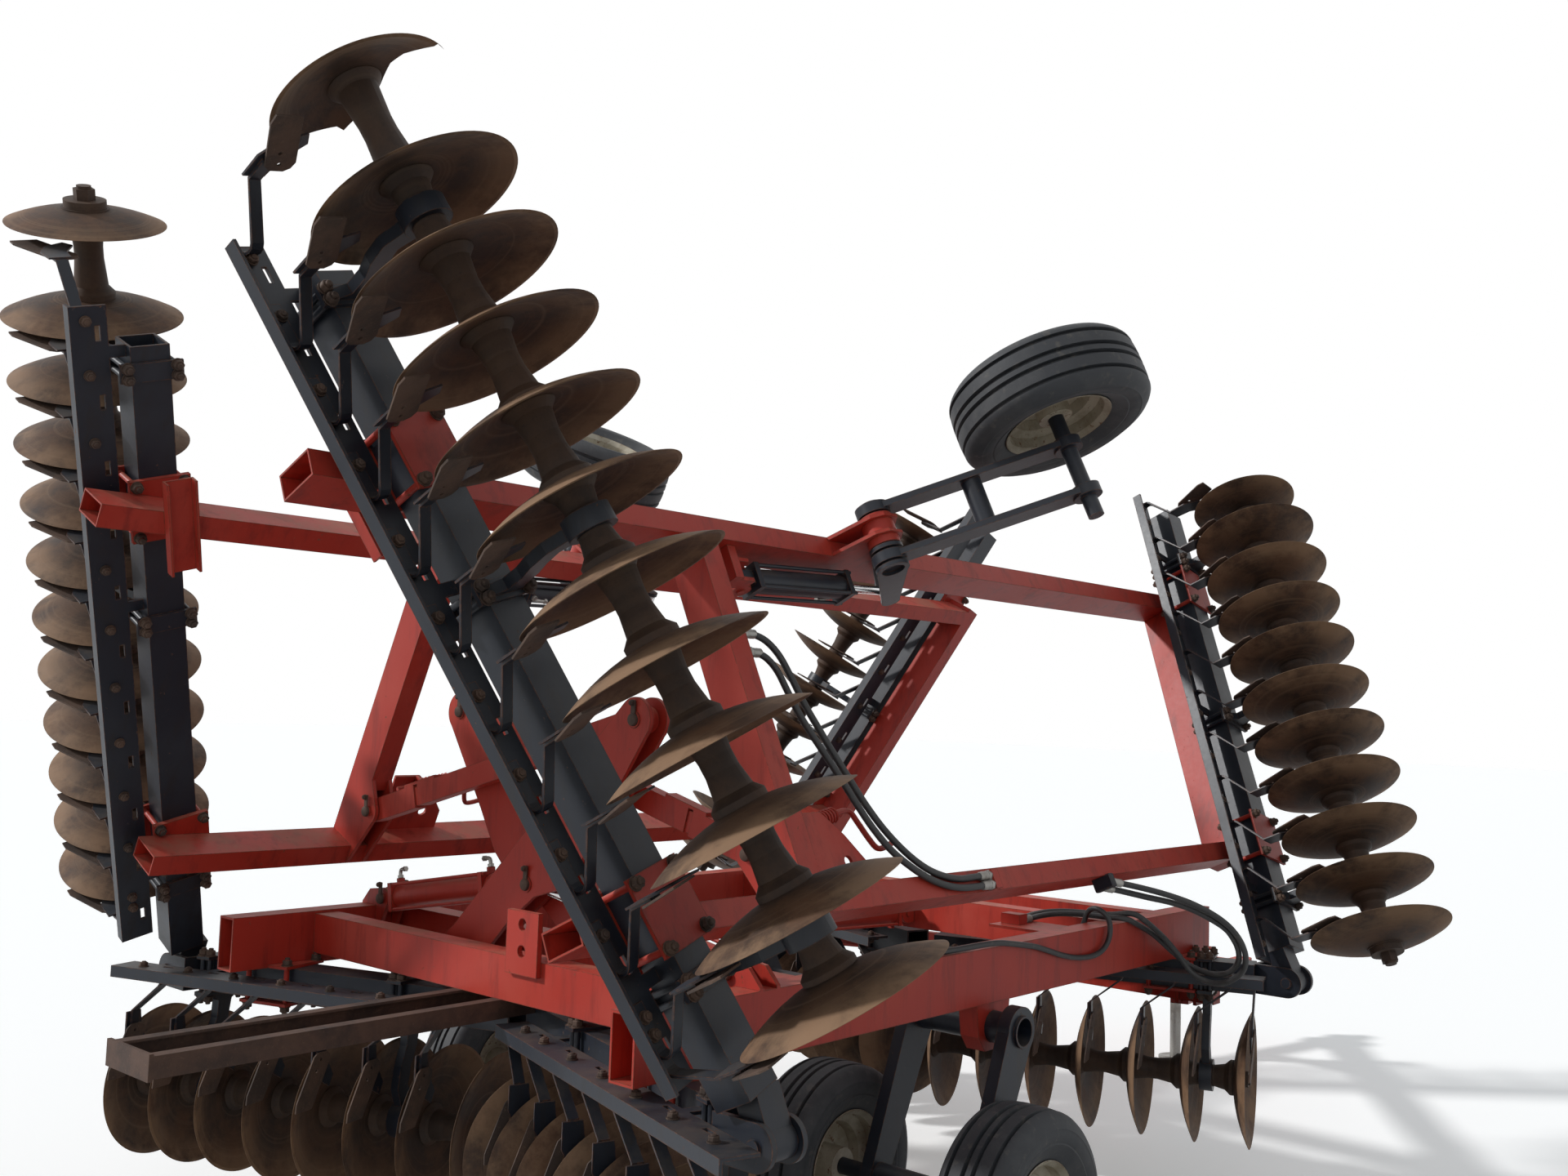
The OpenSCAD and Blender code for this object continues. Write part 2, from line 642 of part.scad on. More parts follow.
module tongue() {
    color(red) at_origin() {
        box(0, tongue_bar_y, tongue_bar_z, 2*rail_x + 260, tongue_bar, tongue_bar);
        for (s = [-1, 1]) side(s) {
            beam(tongue_at(tongue_bar_y), tongue_at(head_y + 40), 80, 120);
            for (e = [-1, 1]) translate([rail_x + e*(rail_w/2 - 8) - 8, tongue_bar_y - 40, tongue_bar_z - 50])
                cube([16, rail_front - tongue_bar_y + 35, rail_z - rail_h/2 - tongue_bar_z + 50]);
        }
        translate([-tongue_at(brace_y)[0], brace_y - tongue_bar/2, tongue_at(brace_y)[2] - tongue_bar/2])
            cube([2*tongue_at(brace_y)[0], tongue_bar, tongue_bar]);
        box(0, head_y + 40, hitch_h, 230, 150, 140);
        box(0, jack_y - jack_od/2 - 6, tongue_at(brace_y)[2], 130, 12, 150);
    }
}

module hitch_clevis() {
    color(red) at_origin() difference() {
        union() {
            box(0, head_y + 40 + 75 + 50, hitch_h, 110, 100, 120);
            for (e = [-1, 1]) {
                translate([-55, head_y + 160, hitch_h + e*45 - 15]) cube([110, hitch_y - head_y - 160, 30]);
                translate([0, hitch_y, hitch_h + e*45 - 15]) cylinder(h = 30, d = 2*clevis_nose, $fn = 64);
            }
        }
        translate([0, hitch_y, hitch_h - 100]) cylinder(h = 200, d = hitch_bore, $fn = 48);
    }
}

module jack_sleeve() {
    z0 = 390;
    z1 = 900;
    color(red) at_origin() difference() {
        union() {
            translate([0, jack_y, z0]) cylinder(h = z1 - z0, d = jack_od, $fn = 48);
            box(0, jack_y - jack_od/2 + 15, tongue_at(brace_y)[2], 80, 30, 130);
            translate([0, jack_y, z1 - 60]) rotate([90, 0, 90]) cylinder(h = 130, d = 24, $fn = 24);
            translate([118, jack_y - 12, z1 - 220]) cube([24, 24, 172]);
            translate([118, jack_y, z1 - 208]) rotate([90, 0, 90]) cylinder(h = 110, d = 24, $fn = 24);
        }
        translate([0, jack_y, z0 - 1]) cylinder(h = z1 - z0 - 20, d = jack_d + 2*running, $fn = 48);
    }
}

module jack_leg() {
    color(chrome) at_origin() {
        translate([0, jack_y, 0]) cylinder(h = 12, d = 200, $fn = 64);
        translate([0, jack_y, 0]) cylinder(h = 560, d = jack_d, $fn = 48);
    }
}

module rear_drawbars() {
    bar_h = 64;
    flange = 44;
    web = 8;
    z = cross_z - cross_h/2 - bar_h;
    color(brown) at_origin() {
        for (s = [-1, 1]) side(s) difference() {
            translate([87, -2640, z]) cube([flange, 1340, bar_h]);
            translate([86, -2641, z + web]) cube([flange + 1 - web, 1342, bar_h - 2*web]);
        }
        translate([-87 - flange, -2652, z - 6]) cube([2*87 + 2*flange, 12.5, bar_h + 12]);
    }
}

// Wings

lug_pin = [hinge_x + (link_pin[0] - hinge_x)*cos(fold_turn) + (link_pin[1] - hinge_z)*sin(fold_turn),
    hinge_z - (link_pin[0] - hinge_x)*sin(fold_turn) + (link_pin[1] - hinge_z)*cos(fold_turn)];
tail_in = 180;
tail_out = 266;
wshaft = [-338, axle_h + 370];
waxle = [95, axle_h - 260];
wlever = [-87, axle_h + 588];
wbase = [-894, axle_h + 645];
warm_x = [3400, 3600];
wshaft_d = 90;

module wing_frame(s) {
    y = plane_of(s);
    color(red) at_origin() side(s) folded() {
        tube_y(wrail_in, wrail_z, wrail_w, wrail_h, rear_line(wrail_in) - tail_in, front_line(wrail_in), wrail_wall);
        tube_y(wrail_out, wrail_z, wrail_w, wrail_h, rear_line(wrail_out) - tail_out, front_line(wrail_out),
            wrail_wall);
        for (front = [true, false]) for (x = [wrail_in, wrail_out]) rail_clamp(front, x, pad_t);
        gang_place(true, wrail_in)
            box((wrail_out - wrail_in)/cos(gang_angle)/2, 0, wrail_z - axle_h,
                (wrail_out - wrail_in)/cos(gang_angle) + 100, 90, wrail_h);
        translate([lug_pin[0] + 72, y - mast_half, wrail_z - wrail_h/2])
            cube([wrail_out - wrail_w/2 - lug_pin[0] - 72, 2*mast_half, wrail_h]);
        translate([wrail_in + wrail_w/2, y - mast_half, wrail_z - wrail_h/2])
            cube([lug_pin[0] + 72 - wrail_in - wrail_w/2, 2*mast_half, 16]);
        for (e = [-1, 1]) plate_xz(y + e*(mast_gap/2 + mast_t/2) - mast_t/2, mast_t) difference() {
            union() {
                translate(lug_pin) circle(r = 52, $fn = 48);
                polygon([[wrail_in - wrail_w/2, wrail_z + wrail_h/2], [lug_pin[0] - 30, lug_pin[1] + 44],
                    [lug_pin[0] + 44, lug_pin[1] + 30], [lug_pin[0] + 120, wrail_z + wrail_h/2],
                    [lug_pin[0] + 120, wrail_z - wrail_h/2], [wrail_in + wrail_w/2, wrail_z - wrail_h/2]]);
            }
            translate(lug_pin) circle(d = fold_pin_d, $fn = 32);
        }
        rod_y(lug_pin[0], y - mast_half - 8, y + mast_half + 8, lug_pin[1], fold_pin_d);
        // Tube of the wheel arm's shaft between two plates under the outer rail
        difference() {
            union() {
                for (e = [-1, 1]) plate_yz(wrail_out + e*(wrail_w/2 - 7) - 7, 14)
                    polygon([[wshaft[0] - 120, wrail_z - wrail_h/2], [wshaft[0] + 120, wrail_z - wrail_h/2],
                        [wshaft[0] + 78, wshaft[1] - 30], [wshaft[0] + 40, wshaft[1] - 70],
                        [wshaft[0] - 40, wshaft[1] - 70], [wshaft[0] - 78, wshaft[1] - 30]]);
                rod_x(warm_x[0] + 50, warm_x[1] - 26, wshaft[0], wshaft[1], wshaft_d + 34);
            }
            rod_x(warm_x[0], warm_x[1], wshaft[0], wshaft[1], wshaft_d + 2*running);
        }
        // Fittings of the wheel cylinder's hoses on the right wing's cross tube and inner rail
        if (s > 0) {
            for (p = [wing_lift_route[0], wing_lower_route[0]])
                rod_y(p[0], y + mast_half - 2, p[1], axle_h + p[2], 34);
            translate([wrail_in - 40, -200, axle_h + 494]) cube([70, 40, wrail_z - wrail_h/2 - axle_h - 493]);
        }
        // Channel across the outer rail over its rear clamp
        gang_place(false, wrail_out) {
            box(0, 0, wrail_z + wrail_h/2 - axle_h + 4, 330, 100, 8);
            for (e = [-1, 1]) box(0, e*46, wrail_z + wrail_h/2 - axle_h + 20, 330, 8, 40);
        }
        // Ears of the wheel's lift cylinder on the inner face of the outer rail
        for (e = [-1, 1]) plate_yz(warm_x[0] + e*38 - 8, 16) difference() {
            union() {
                translate(wbase) circle(r = 40, $fn = 48);
                translate([wbase[0] - 80, wrail_z - 30]) square([80, 60]);
            }
            translate(wbase) circle(d = lift_pin_d, $fn = 32);
        }
        box((warm_x[0] - 46 + wrail_out - wrail_w/2)/2, wbase[0] - 90, wrail_z,
            wrail_out - wrail_w/2 - warm_x[0] + 46, 40, 90);
        rod_x(warm_x[0] - 52, warm_x[0] + 52, wbase[0], wbase[1], lift_pin_d);
    }
}

// Barrel and arm on the wing's beam that turn on the hinge pin
module wing_hinge(front) {
    y = gang_line(front, hinge_x);
    half = hinge_half - lug_t/2 - barrel_gap;
    difference() {
        union() {
            rod_y(hinge_x, y - half, y + half, hinge_z, 96);
            translate([hinge_x, y - half, hinge_z - 40]) cube([wing_start + 12, 2*half, 80]);
        }
        rod_y(hinge_x, y - 100, y + 100, hinge_z, hinge_pin_d + 2*running);
    }
}

module wing_gang_beams(s) {
    color(black) at_origin() side(s) folded() for (front = [true, false]) {
        g = gang_of(front, true);
        x_in = (hinge_x + wing_start - g[X0])/cos(gang_angle);
        x_out = ((front ? 3990 : 4058) - g[X0])/cos(gang_angle);
        gang_place(front, g[X0]) {
            gang_beam(x_in, x_out);
            box(x_in, 0, tube_rise, 14, gang_tube, gang_tube);
            for (k = bearings_of(front, true)) hanger(spool_mid(g, k));
        }
        wing_hinge(front);
    }
}

module wing_scraper_bars(s) {
    color(black) at_origin() side(s) folded() for (front = [true, false]) {
        g = gang_of(front, true);
        gang_place(front, g[X0])
            scraper_bar(-20, ((front ? 4040 : 4185) - g[X0])/cos(gang_angle), g, bearings_of(front, true), 44);
    }
}

// Lift shaft with the arms of the twin wheels

wheel_x = [580, 1410];
arms_at = [800, 1238];
axle_z = tyre_d/2;
arm_slope = asin((shaft_z - axle_z)/arm_len);
axle_y = shaft_y - arm_len*cos(arm_slope);

module lift_rockshaft() {
    color(black) at_origin() {
        difference() {
            rod_x(-1275, 1275, shaft_y, shaft_z, shaft_d);
            rod_x(-1276, 1276, shaft_y, shaft_z, shaft_d - 16);
        }
        for (s = [-1, 1]) side(s) {
            for (x = arms_at) difference() {
                plate_yz(x - 25, 50) difference() {
                    union() {
                        translate([shaft_y, shaft_z]) circle(r = 88, $fn = 48);
                        translate([axle_y, axle_z]) circle(r = 58, $fn = 48);
                        translate([shaft_y, shaft_z]) rotate(-180 + arm_slope)
                            polygon([[0, -84], [arm_len, -56], [arm_len, 56], [0, 84]]);
                    }
                    translate([shaft_y, shaft_z]) circle(d = shaft_d - 2, $fn = 48);
                }
            }
            rod_x(wheel_x[0] - 60, wheel_x[1] + 60, axle_y, axle_z, spindle_d);
            rod_x(arms_at[0], arms_at[1], axle_y, axle_z, spindle_d + 40);
        }
        for (e = [-1, 1]) plate_yz(e*38 - 8, 16) difference() {
            union() {
                translate([shaft_y, shaft_z]) circle(r = 85, $fn = 48);
                translate(lift_pin) circle(r = 42, $fn = 48);
                translate([shaft_y, shaft_z]) rotate(lever_angle)
                    polygon([[0, -84], [lift_arm, -42], [lift_arm, 42], [0, 84]]);
            }
            translate([shaft_y, shaft_z]) circle(d = shaft_d - 2, $fn = 48);
        }
    }
}

// Wheels, drawn about their axle along X with the middle at x

seat_gap = 0.3;
module tyre(x, y, z) {
    w = tyre_w/2;
    r = tyre_d/2;
    b = rim_d/2 + seat_gap;
    translate([x, y, z]) rotate([0, 90, 0]) rotate_extrude($fn = 96)
        polygon([[b, -w*0.62], [b + 18, -w*0.74], [b + 70, -w*0.96], [b + 110, -w], [r - 40, -w*0.94],
            [r - 14, -w*0.8], [r - 4, -w*0.64], [r - 18, -w*0.61], [r - 18, -w*0.55], [r - 3, -w*0.52],
            [r, -w*0.2], [r - 16, -w*0.17], [r - 16, -w*0.1], [r, -w*0.07],
            [r, w*0.07], [r - 16, w*0.1], [r - 16, w*0.17], [r, w*0.2],
            [r - 3, w*0.52], [r - 18, w*0.55], [r - 18, w*0.61], [r - 4, w*0.64], [r - 14, w*0.8],
            [r - 40, w*0.94], [b + 110, w], [b + 70, w*0.96], [b + 18, w*0.74], [b, w*0.62]]);
}

hub_d = 130;
module rim(x, y, z, out) {
    w = tyre_w/2;
    b = rim_d/2;
    translate([x, y, z]) rotate([0, 90*out, 0]) difference() {
        union() {
            rotate_extrude($fn = 96)
                polygon([[b + 12, -w*0.78], [b + 15, -w*0.76], [b, -w*0.63], [b, -w*0.3], [b - 34, -w*0.2],
                    [b - 34, w*0.2], [b, w*0.3], [b, w*0.63], [b + 15, w*0.76], [b + 12, w*0.78],
                    [b - 6, w*0.62], [b - 6, w*0.32], [b - 40, w*0.22], [b - 44, 34], [hub_d/2 + 24, 40],
                    [hub_d/2 + 14, 20], [b - 52, 12], [b - 41, -w*0.2], [b - 6, -w*0.32], [b - 6, -w*0.62]]);
            translate([0, 0, -70]) cylinder(h = 140, d = hub_d, $fn = 64);
            translate([0, 0, 22]) cylinder(h = 12, d = hub_d + 80, $fn = 64);
            for (a = [0:60:300]) rotate(a) translate([hub_d/2 + 20, 0, 34]) cylinder(h = 16, d = 28, $fn = 6);
        }
        translate([0, 0, -90]) cylinder(h = 200, d = spindle_d + 2*running, $fn = 48);
    }
}

module twin_tyres(s) {
    color(rubber) at_origin() side(s) for (x = wheel_x) tyre(x, axle_y, axle_z);
}

module twin_rims(s) {
    color(cream) at_origin() side(s) for (k = [0, 1]) rim(wheel_x[k], axle_y, axle_z, k == 0 ? -1 : 1);
}

// Wing wheel on its pair of arms

wwheel_x = 3790;

module wing_rockshaft(s) {
    color(black) at_origin() side(s) folded() {
        rod_x(warm_x[0] - 30, warm_x[1] + 30, wshaft[0], wshaft[1], wshaft_d);
        for (x = warm_x) {
            beam([x, wshaft[0], wshaft[1]], [x, waxle[0], waxle[1]], 24, 96);
            rod_x(x - 20, x + 20, wshaft[0], wshaft[1], 130);
            rod_x(x - 20, x + 20, waxle[0], waxle[1], 110);
        }
        mid = (wshaft + waxle)/2;
        rod_x(warm_x[0], warm_x[1], mid[0], mid[1], 76);
        rod_x(warm_x[0] - 100, wwheel_x + 60, waxle[0], waxle[1], spindle_d);
        for (e = [-1, 1]) plate_yz(warm_x[0] + e*38 - 8, 16) difference() {
            union() {
                translate(wshaft) circle(r = 64, $fn = 48);
                translate(wlever) circle(r = 38, $fn = 48);
                translate(wshaft) rotate(atan2(wlever[1] - wshaft[1], wlever[0] - wshaft[0]))
                    polygon([[0, -60], [norm(wlever - wshaft), -36], [norm(wlever - wshaft), 36], [0, 60]]);
            }
            translate(wshaft) circle(d = wshaft_d - 2, $fn = 48);
        }
    }
}

module wing_tyre(s) {
    color(rubber) at_origin() side(s) folded() tyre(wwheel_x, waxle[0], waxle[1]);
}

module wing_rim(s) {
    color(cream) at_origin() side(s) folded() rim(wwheel_x, waxle[0], waxle[1], 1);
}

// Cylinders, drawn along X from the base pin at the origin, pins along Y

gland = 24;
cap = 74;
piston = 20;
head = 24;
tie_d = 14;
// nose is the round gland's length past the front head
module barrel(len, od, pin_d, eye_w, rod_d, nose) {
    bore = od - 16;
    front = len - nose - head;
    tie = od/2 - 2;
    difference() {
        union() {
            rotate([0, 90, 0]) translate([0, 0, 56]) cylinder(h = front - 50, d = od, $fn = 64);
            rotate([0, 90, 0]) translate([0, 0, front]) cylinder(h = len - front, d = od - 4, $fn = 64);
            for (x = [56, front]) translate([x, -od/2 - 6, -od/2 - 6]) cube([head, od + 12, od + 12]);
            for (y = [-tie, tie]) for (z = [-tie, tie]) translate([0, y, z]) rotate([0, 90, 0])
                translate([0, 0, 56 + head - 2]) cylinder(h = front + head - 66, d = tie_d, $fn = 16);
            translate([front + 4, -14, od/2]) cube([16, 28, 22]);
            translate([60, -14, od/2]) cube([16, 28, 22]);
            rotate([90, 0, 0]) translate([0, 0, -eye_w/2]) cylinder(h = eye_w, d = 2*pin_d, $fn = 48);
            translate([0, -eye_w/2, -pin_d]) cube([60, eye_w, 2*pin_d]);
        }
        rotate([0, 90, 0]) translate([0, 0, cap]) cylinder(h = len - cap - gland, d = bore, $fn = 64);
        rotate([0, 90, 0]) translate([0, 0, cap]) cylinder(h = len, d = rod_d + 2*running, $fn = 48);
        rotate([90, 0, 0]) translate([0, 0, -eye_w]) cylinder(h = 2*eye_w, d = pin_d + 2*running, $fn = 48);
    }
}

// Rod from inside the barrel to the eye at the far pin; the eye stands between two plates
module rod(start, len, rod_d, bore, eye_d, eye_w) {
    rotate([0, 90, 0]) {
        translate([0, 0, start]) cylinder(h = len - start, d = rod_d, $fn = 48);
        translate([0, 0, start]) cylinder(h = piston, d = bore - 2*running, $fn = 64);
    }
    translate([len, 0, 0]) rotate([90, 0, 0]) translate([0, 0, -eye_w/2])
        cylinder(h = eye_w, d = eye_d, $fn = 48);
}

module fold_cylinder_place(s) {
    v = mast_cyl - cyl_base;
    at_origin() side(s) translate([cyl_base[0], plane_of(s), cyl_base[1]])
        rotate([0, -atan2(v[1], v[0]), 0]) children();
}

fold_len = norm(mast_cyl - cyl_base);
fold_barrel = 755;
eye_w = mast_gap - 12;

module fold_cylinder(s) {
    color(red) fold_cylinder_place(s) barrel(fold_barrel, fold_cyl_d, fold_pin_d, eye_w, fold_rod_d, 84);
}

module fold_rod(s) {
    color(chrome) fold_cylinder_place(s) rod(cap + 2, fold_len, fold_rod_d, fold_cyl_d - 16, 84, eye_w);
}

lift_rod_d = 38;
lift_od = 96;
module lift_place() {
    v = lift_pin - lift_base;
    at_origin() translate([0, lift_base[0], lift_base[1]])
        rotate([atan2(v[1], v[0]), 0, 0]) rotate([0, 0, 90]) children();
}

lift_len = norm(lift_pin - lift_base);
module lift_cylinder() {
    color(red) lift_place() barrel(lift_len - 260, lift_od, lift_pin_d, 52, lift_rod_d, 30);
}

module lift_rod() {
    color(chrome) lift_place() rod(lift_len - 620, lift_len, lift_rod_d, lift_od - 16, 76, 48);
}

module wing_cyl_place(s) {
    v = wlever - wbase;
    at_origin() side(s) folded() translate([warm_x[0], wbase[0], wbase[1]])
        rotate([atan2(v[1], v[0]), 0, 0]) rotate([0, 0, 90]) children();
}

wing_cyl_len = norm(wlever - wbase);
module wing_cylinder(s) {
    color(black) wing_cyl_place(s) barrel(wing_cyl_len - 250, 90, lift_pin_d, 52, 34, 4);
}

module wing_rod(s) {
    color(chrome) wing_cyl_place(s) rod(wing_cyl_len - 450, wing_cyl_len, 34, 74, 66, 48);
}

// Masts and links of the wing fold

mast_u = (mast_top - mast_pivot)/norm(mast_top - mast_pivot);
function mast_pt(a, p) = mast_pivot + a*mast_u + p*[-mast_u[1], mast_u[0]];
// Outline along the mast and across it, the belly below
mast_len = norm(mast_top - mast_pivot);
belly = [[0, 98], [300, 96], [470, 118], [600, 186], [720, 190], [895, 148], [mast_len, 76]];

module mast(s) {
    y = plane_of(s);
    color(red) at_origin() side(s) difference() {
        union() {
            for (e = [-1, 1]) plate_xz(y + e*(mast_gap/2 + mast_t/2) - mast_t/2, mast_t) {
                polygon([for (p = belly) mast_pt(p[0], p[1]), mast_pt(mast_len, -76), mast_pt(0, -92)]);
                translate(mast_pivot) circle(r = 98, $fn = 48);
                translate(mast_top) circle(r = 76, $fn = 48);
            }
            rod_y(mast_pivot[0], y - mast_half - 4, y + mast_half + 4, mast_pivot[1], pivot_d + 50);
            for (p = [mast_top, mast_cyl]) for (e = [-1, 1])
                rod_y(p[0], y + e*mast_half - 4, y + e*mast_half + 4, p[1], fold_pin_d + 18);
        }
        rod_y(mast_pivot[0], y - 200, y + 200, mast_pivot[1], pivot_d + 2*running);
    }
}

link_w = mast_gap - 10;
link_h = 90;
collar_at = 290;
module fold_link(s) {
    v = mast_top - link_pin;
    len = norm(v);
    color(red) at_origin() side(s) translate([link_pin[0], plane_of(s), link_pin[1]])
        rotate([0, -atan2(v[1], v[0]), 0]) difference() {
            union() {
                translate([0, -link_w/2, -link_h/2]) cube([collar_at, link_w, link_h]);
                translate([collar_at + 24, -link_w/2, -link_h/2]) cube([len - collar_at - 90, link_w, link_h - 6]);
                translate([0, -link_w/2 + 6, -link_h/2 + 8]) cube([len, link_w - 12, link_h - 16]);
                translate([collar_at - 60, -link_w/2, -link_h/2 - 12]) cube([200, link_w, 12]);
                rotate([90, 0, 0]) translate([0, 0, -link_w/2]) cylinder(h = link_w, d = link_h, $fn = 48);
                translate([len, 0, 0]) rotate([90, 0, 0]) translate([0, 0, -link_w/2])
                    cylinder(h = link_w, d = link_h, $fn = 48);
            }
            rotate([90, 0, 0]) cylinder(h = 2*link_w, d = fold_pin_d + 2*running, center = true, $fn = 48);
        }
}

main_frame();
center_gang_beams();
center_scraper_bars();
tongue();
hitch_clevis();
jack_sleeve();
jack_leg();
rear_drawbars();
gang(true, false, -1);  // front_left_inner_gang
gang(true, false, 1);  // front_right_inner_gang
gang(false, false, -1);  // rear_left_inner_gang
gang(false, false, 1);  // rear_right_inner_gang
gang(true, true, -1);  // front_left_outer_gang
gang(true, true, 1);  // front_right_outer_gang
gang(false, true, -1);  // rear_left_outer_gang
gang(false, true, 1);  // rear_right_outer_gang
wing_frame(-1);  // left_wing_frame
wing_frame(1);  // right_wing_frame
wing_gang_beams(-1);  // left_wing_gang_beams
wing_gang_beams(1);  // right_wing_gang_beams
wing_scraper_bars(-1);  // left_wing_scraper_bars
wing_scraper_bars(1);  // right_wing_scraper_bars
lift_rockshaft();
twin_tyres(-1);  // left_twin_tyres
twin_tyres(1);  // right_twin_tyres
twin_rims(-1);  // left_twin_rims
twin_rims(1);  // right_twin_rims
lift_cylinder();
lift_rod();
wing_rockshaft(-1);  // left_wing_rockshaft
wing_rockshaft(1);  // right_wing_rockshaft
wing_tyre(-1);  // left_wing_tyre
wing_tyre(1);  // right_wing_tyre
wing_rim(-1);  // left_wing_rim
wing_rim(1);  // right_wing_rim
wing_cylinder(-1);  // left_wing_cylinder
wing_cylinder(1);  // right_wing_cylinder
wing_rod(-1);  // left_wing_rod
wing_rod(1);  // right_wing_rod
mast(-1);  // left_mast
mast(1);  // right_mast
fold_link(-1);  // left_fold_link
fold_link(1);  // right_fold_link
fold_cylinder(-1);  // left_fold_cylinder
fold_cylinder(1);  // right_fold_cylinder
fold_rod(-1);  // left_fold_rod
fold_rod(1);  // right_fold_rod
frame_hose(rail_hose_route, hose_d);  // rail_hose
frame_hose(wing_feed_route, wing_hose_d);  // wing_feed_hose
frame_hose(wing_return_route, wing_hose_d);  // wing_return_hose
wing_hose(wing_lift_route);  // wing_lift_hose
wing_hose(wing_lower_route);  // wing_lower_hose
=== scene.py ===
# %% [markdown]
# # Dressing a folded disc harrow
# The steel of this harrow comes packed from CAD: frames, gangs, masts, cylinders and wheels.
# This lesson gives it weathered finishes, hydraulic hoses, bolts, grooved tyres, scraper blades
# and small fittings, and then a plain studio with one camera. All lengths are in metres.

# %% Load the frame
import json
import math

import bpy
from mathutils import Matrix, Vector


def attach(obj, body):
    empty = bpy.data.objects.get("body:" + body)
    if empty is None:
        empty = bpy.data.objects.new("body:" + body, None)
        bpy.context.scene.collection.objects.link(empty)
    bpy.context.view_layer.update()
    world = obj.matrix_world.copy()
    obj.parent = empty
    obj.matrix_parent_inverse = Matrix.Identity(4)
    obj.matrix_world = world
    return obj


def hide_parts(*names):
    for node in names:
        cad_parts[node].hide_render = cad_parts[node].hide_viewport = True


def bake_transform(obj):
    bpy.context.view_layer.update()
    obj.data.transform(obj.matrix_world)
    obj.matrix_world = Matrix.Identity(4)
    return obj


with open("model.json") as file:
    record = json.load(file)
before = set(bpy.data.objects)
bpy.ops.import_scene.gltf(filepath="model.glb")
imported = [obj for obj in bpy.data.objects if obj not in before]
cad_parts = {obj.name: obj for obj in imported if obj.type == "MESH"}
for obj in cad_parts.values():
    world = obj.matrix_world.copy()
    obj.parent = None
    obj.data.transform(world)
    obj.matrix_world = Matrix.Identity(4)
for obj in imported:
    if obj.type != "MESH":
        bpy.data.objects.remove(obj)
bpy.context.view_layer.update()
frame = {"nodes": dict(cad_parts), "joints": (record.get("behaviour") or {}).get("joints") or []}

scene = bpy.context.scene
NODES = frame["nodes"]
SIDES = ((-1, "left"), (1, "right"))
print("CAD nodes:", len(NODES))

# %% [markdown]
# ## Camera
# The harrow is looked at from behind its right rear corner, a little above eye height,
# with the lens tipped up by under five degrees and the picture turned by two. A real lens could
# be aimed by hand, but a few measured numbers and a short sum give the same aim each time.

# %% Camera
CAMERA_AT = Vector((4.084, -5.607, 2.066))
YAW = math.radians(41.29)
PITCH = math.radians(4.75)
ROLL = math.radians(1.82)
FOCAL_PIXELS = 1760.7
IMAGE_WIDTH = 1920
SENSOR_WIDTH = 36
FAR_SIGHT = 200


def camera_matrix(place, yaw, pitch, roll):
    ahead = Vector((-math.sin(yaw) * math.cos(pitch), math.cos(yaw) * math.cos(pitch),
        math.sin(pitch)))
    level = Vector((math.cos(yaw), math.sin(yaw), 0))
    upward = level.cross(ahead)
    right = math.cos(roll) * level + math.sin(roll) * upward
    up = -math.sin(roll) * level + math.cos(roll) * upward
    turn = Matrix((right, up, -ahead)).transposed()
    return Matrix.Translation(place) @ turn.to_4x4()


lens = bpy.data.cameras.new("camera")
lens.sensor_width = SENSOR_WIDTH
lens.lens = FOCAL_PIXELS * SENSOR_WIDTH / IMAGE_WIDTH
lens.clip_end = FAR_SIGHT
camera = bpy.data.objects.new("camera", lens)
scene.collection.objects.link(camera)
camera.matrix_world = camera_matrix(CAMERA_AT, YAW, PITCH, ROLL)
scene.camera = camera
print("lens", round(lens.lens, 2), "mm")

# %% [markdown]
# ## Places on the machine
# The harrow is described with its cross line at y = 0, and stands a little behind that here.
# A wing is described lying flat, as in work, then turned up by 115 degrees about its hinge.
# A gang is described along its own axle, which runs 18 degrees askew. Each point could be worked
# out where it stands, but a matrix carries a whole mesh and keeps the numbers of a plain drawing.

# %% Places
MIDDLE = -1.0351395606
AXLE = 0.510
TUBE_RISE = 0.440
HALF_TUBE = 0.0635
HINGE = Vector((1.585, 0, 0.950))
FOLD_ANGLE = math.radians(115)
GANG_ANGLE = math.radians(18)
CROSS_LINE = 1.190
MIRROR = Matrix.Scale(-1, 4, (1, 0, 0))
MACHINE = Matrix.Translation((0, MIDDLE, 0))
TURN_UP = Matrix.Rotation(-FOLD_ANGLE, 4, "Y")
FOLD = Matrix.Translation(HINGE) @ TURN_UP @ Matrix.Translation(-HINGE)


def half(side):
    return MACHINE @ MIRROR if side < 0 else MACHINE


def wing(side):
    return half(side) @ FOLD


def gang(base, end, start):
    """The frame of a gang: X along its axle from the blade at start, Z up, origin on the axle."""
    hand = 1 if end == "front" else -1
    line = hand * (CROSS_LINE + start * math.tan(GANG_ANGLE))
    turn = Matrix.Rotation(hand * GANG_ANGLE, 4, "Z")
    return base @ Matrix.Translation((start, line, AXLE)) @ turn


print("a wing's hinge stands at", [round(v, 3) for v in HINGE])

# %% [markdown]
# ## Hoses
# Oil reaches the right wing's wheel cylinder through rubber hoses. Two leave a manifold beside
# the main rail, loop down by the wing hinge and rise to the wing, one runs along the main rail,
# and two cross the wing to its cylinder. A hose is a fixed length of something flexible, so each
# is one smooth curve through the points of its route, and a round section is swept along it.
# The routes count their heights from the gang axle.

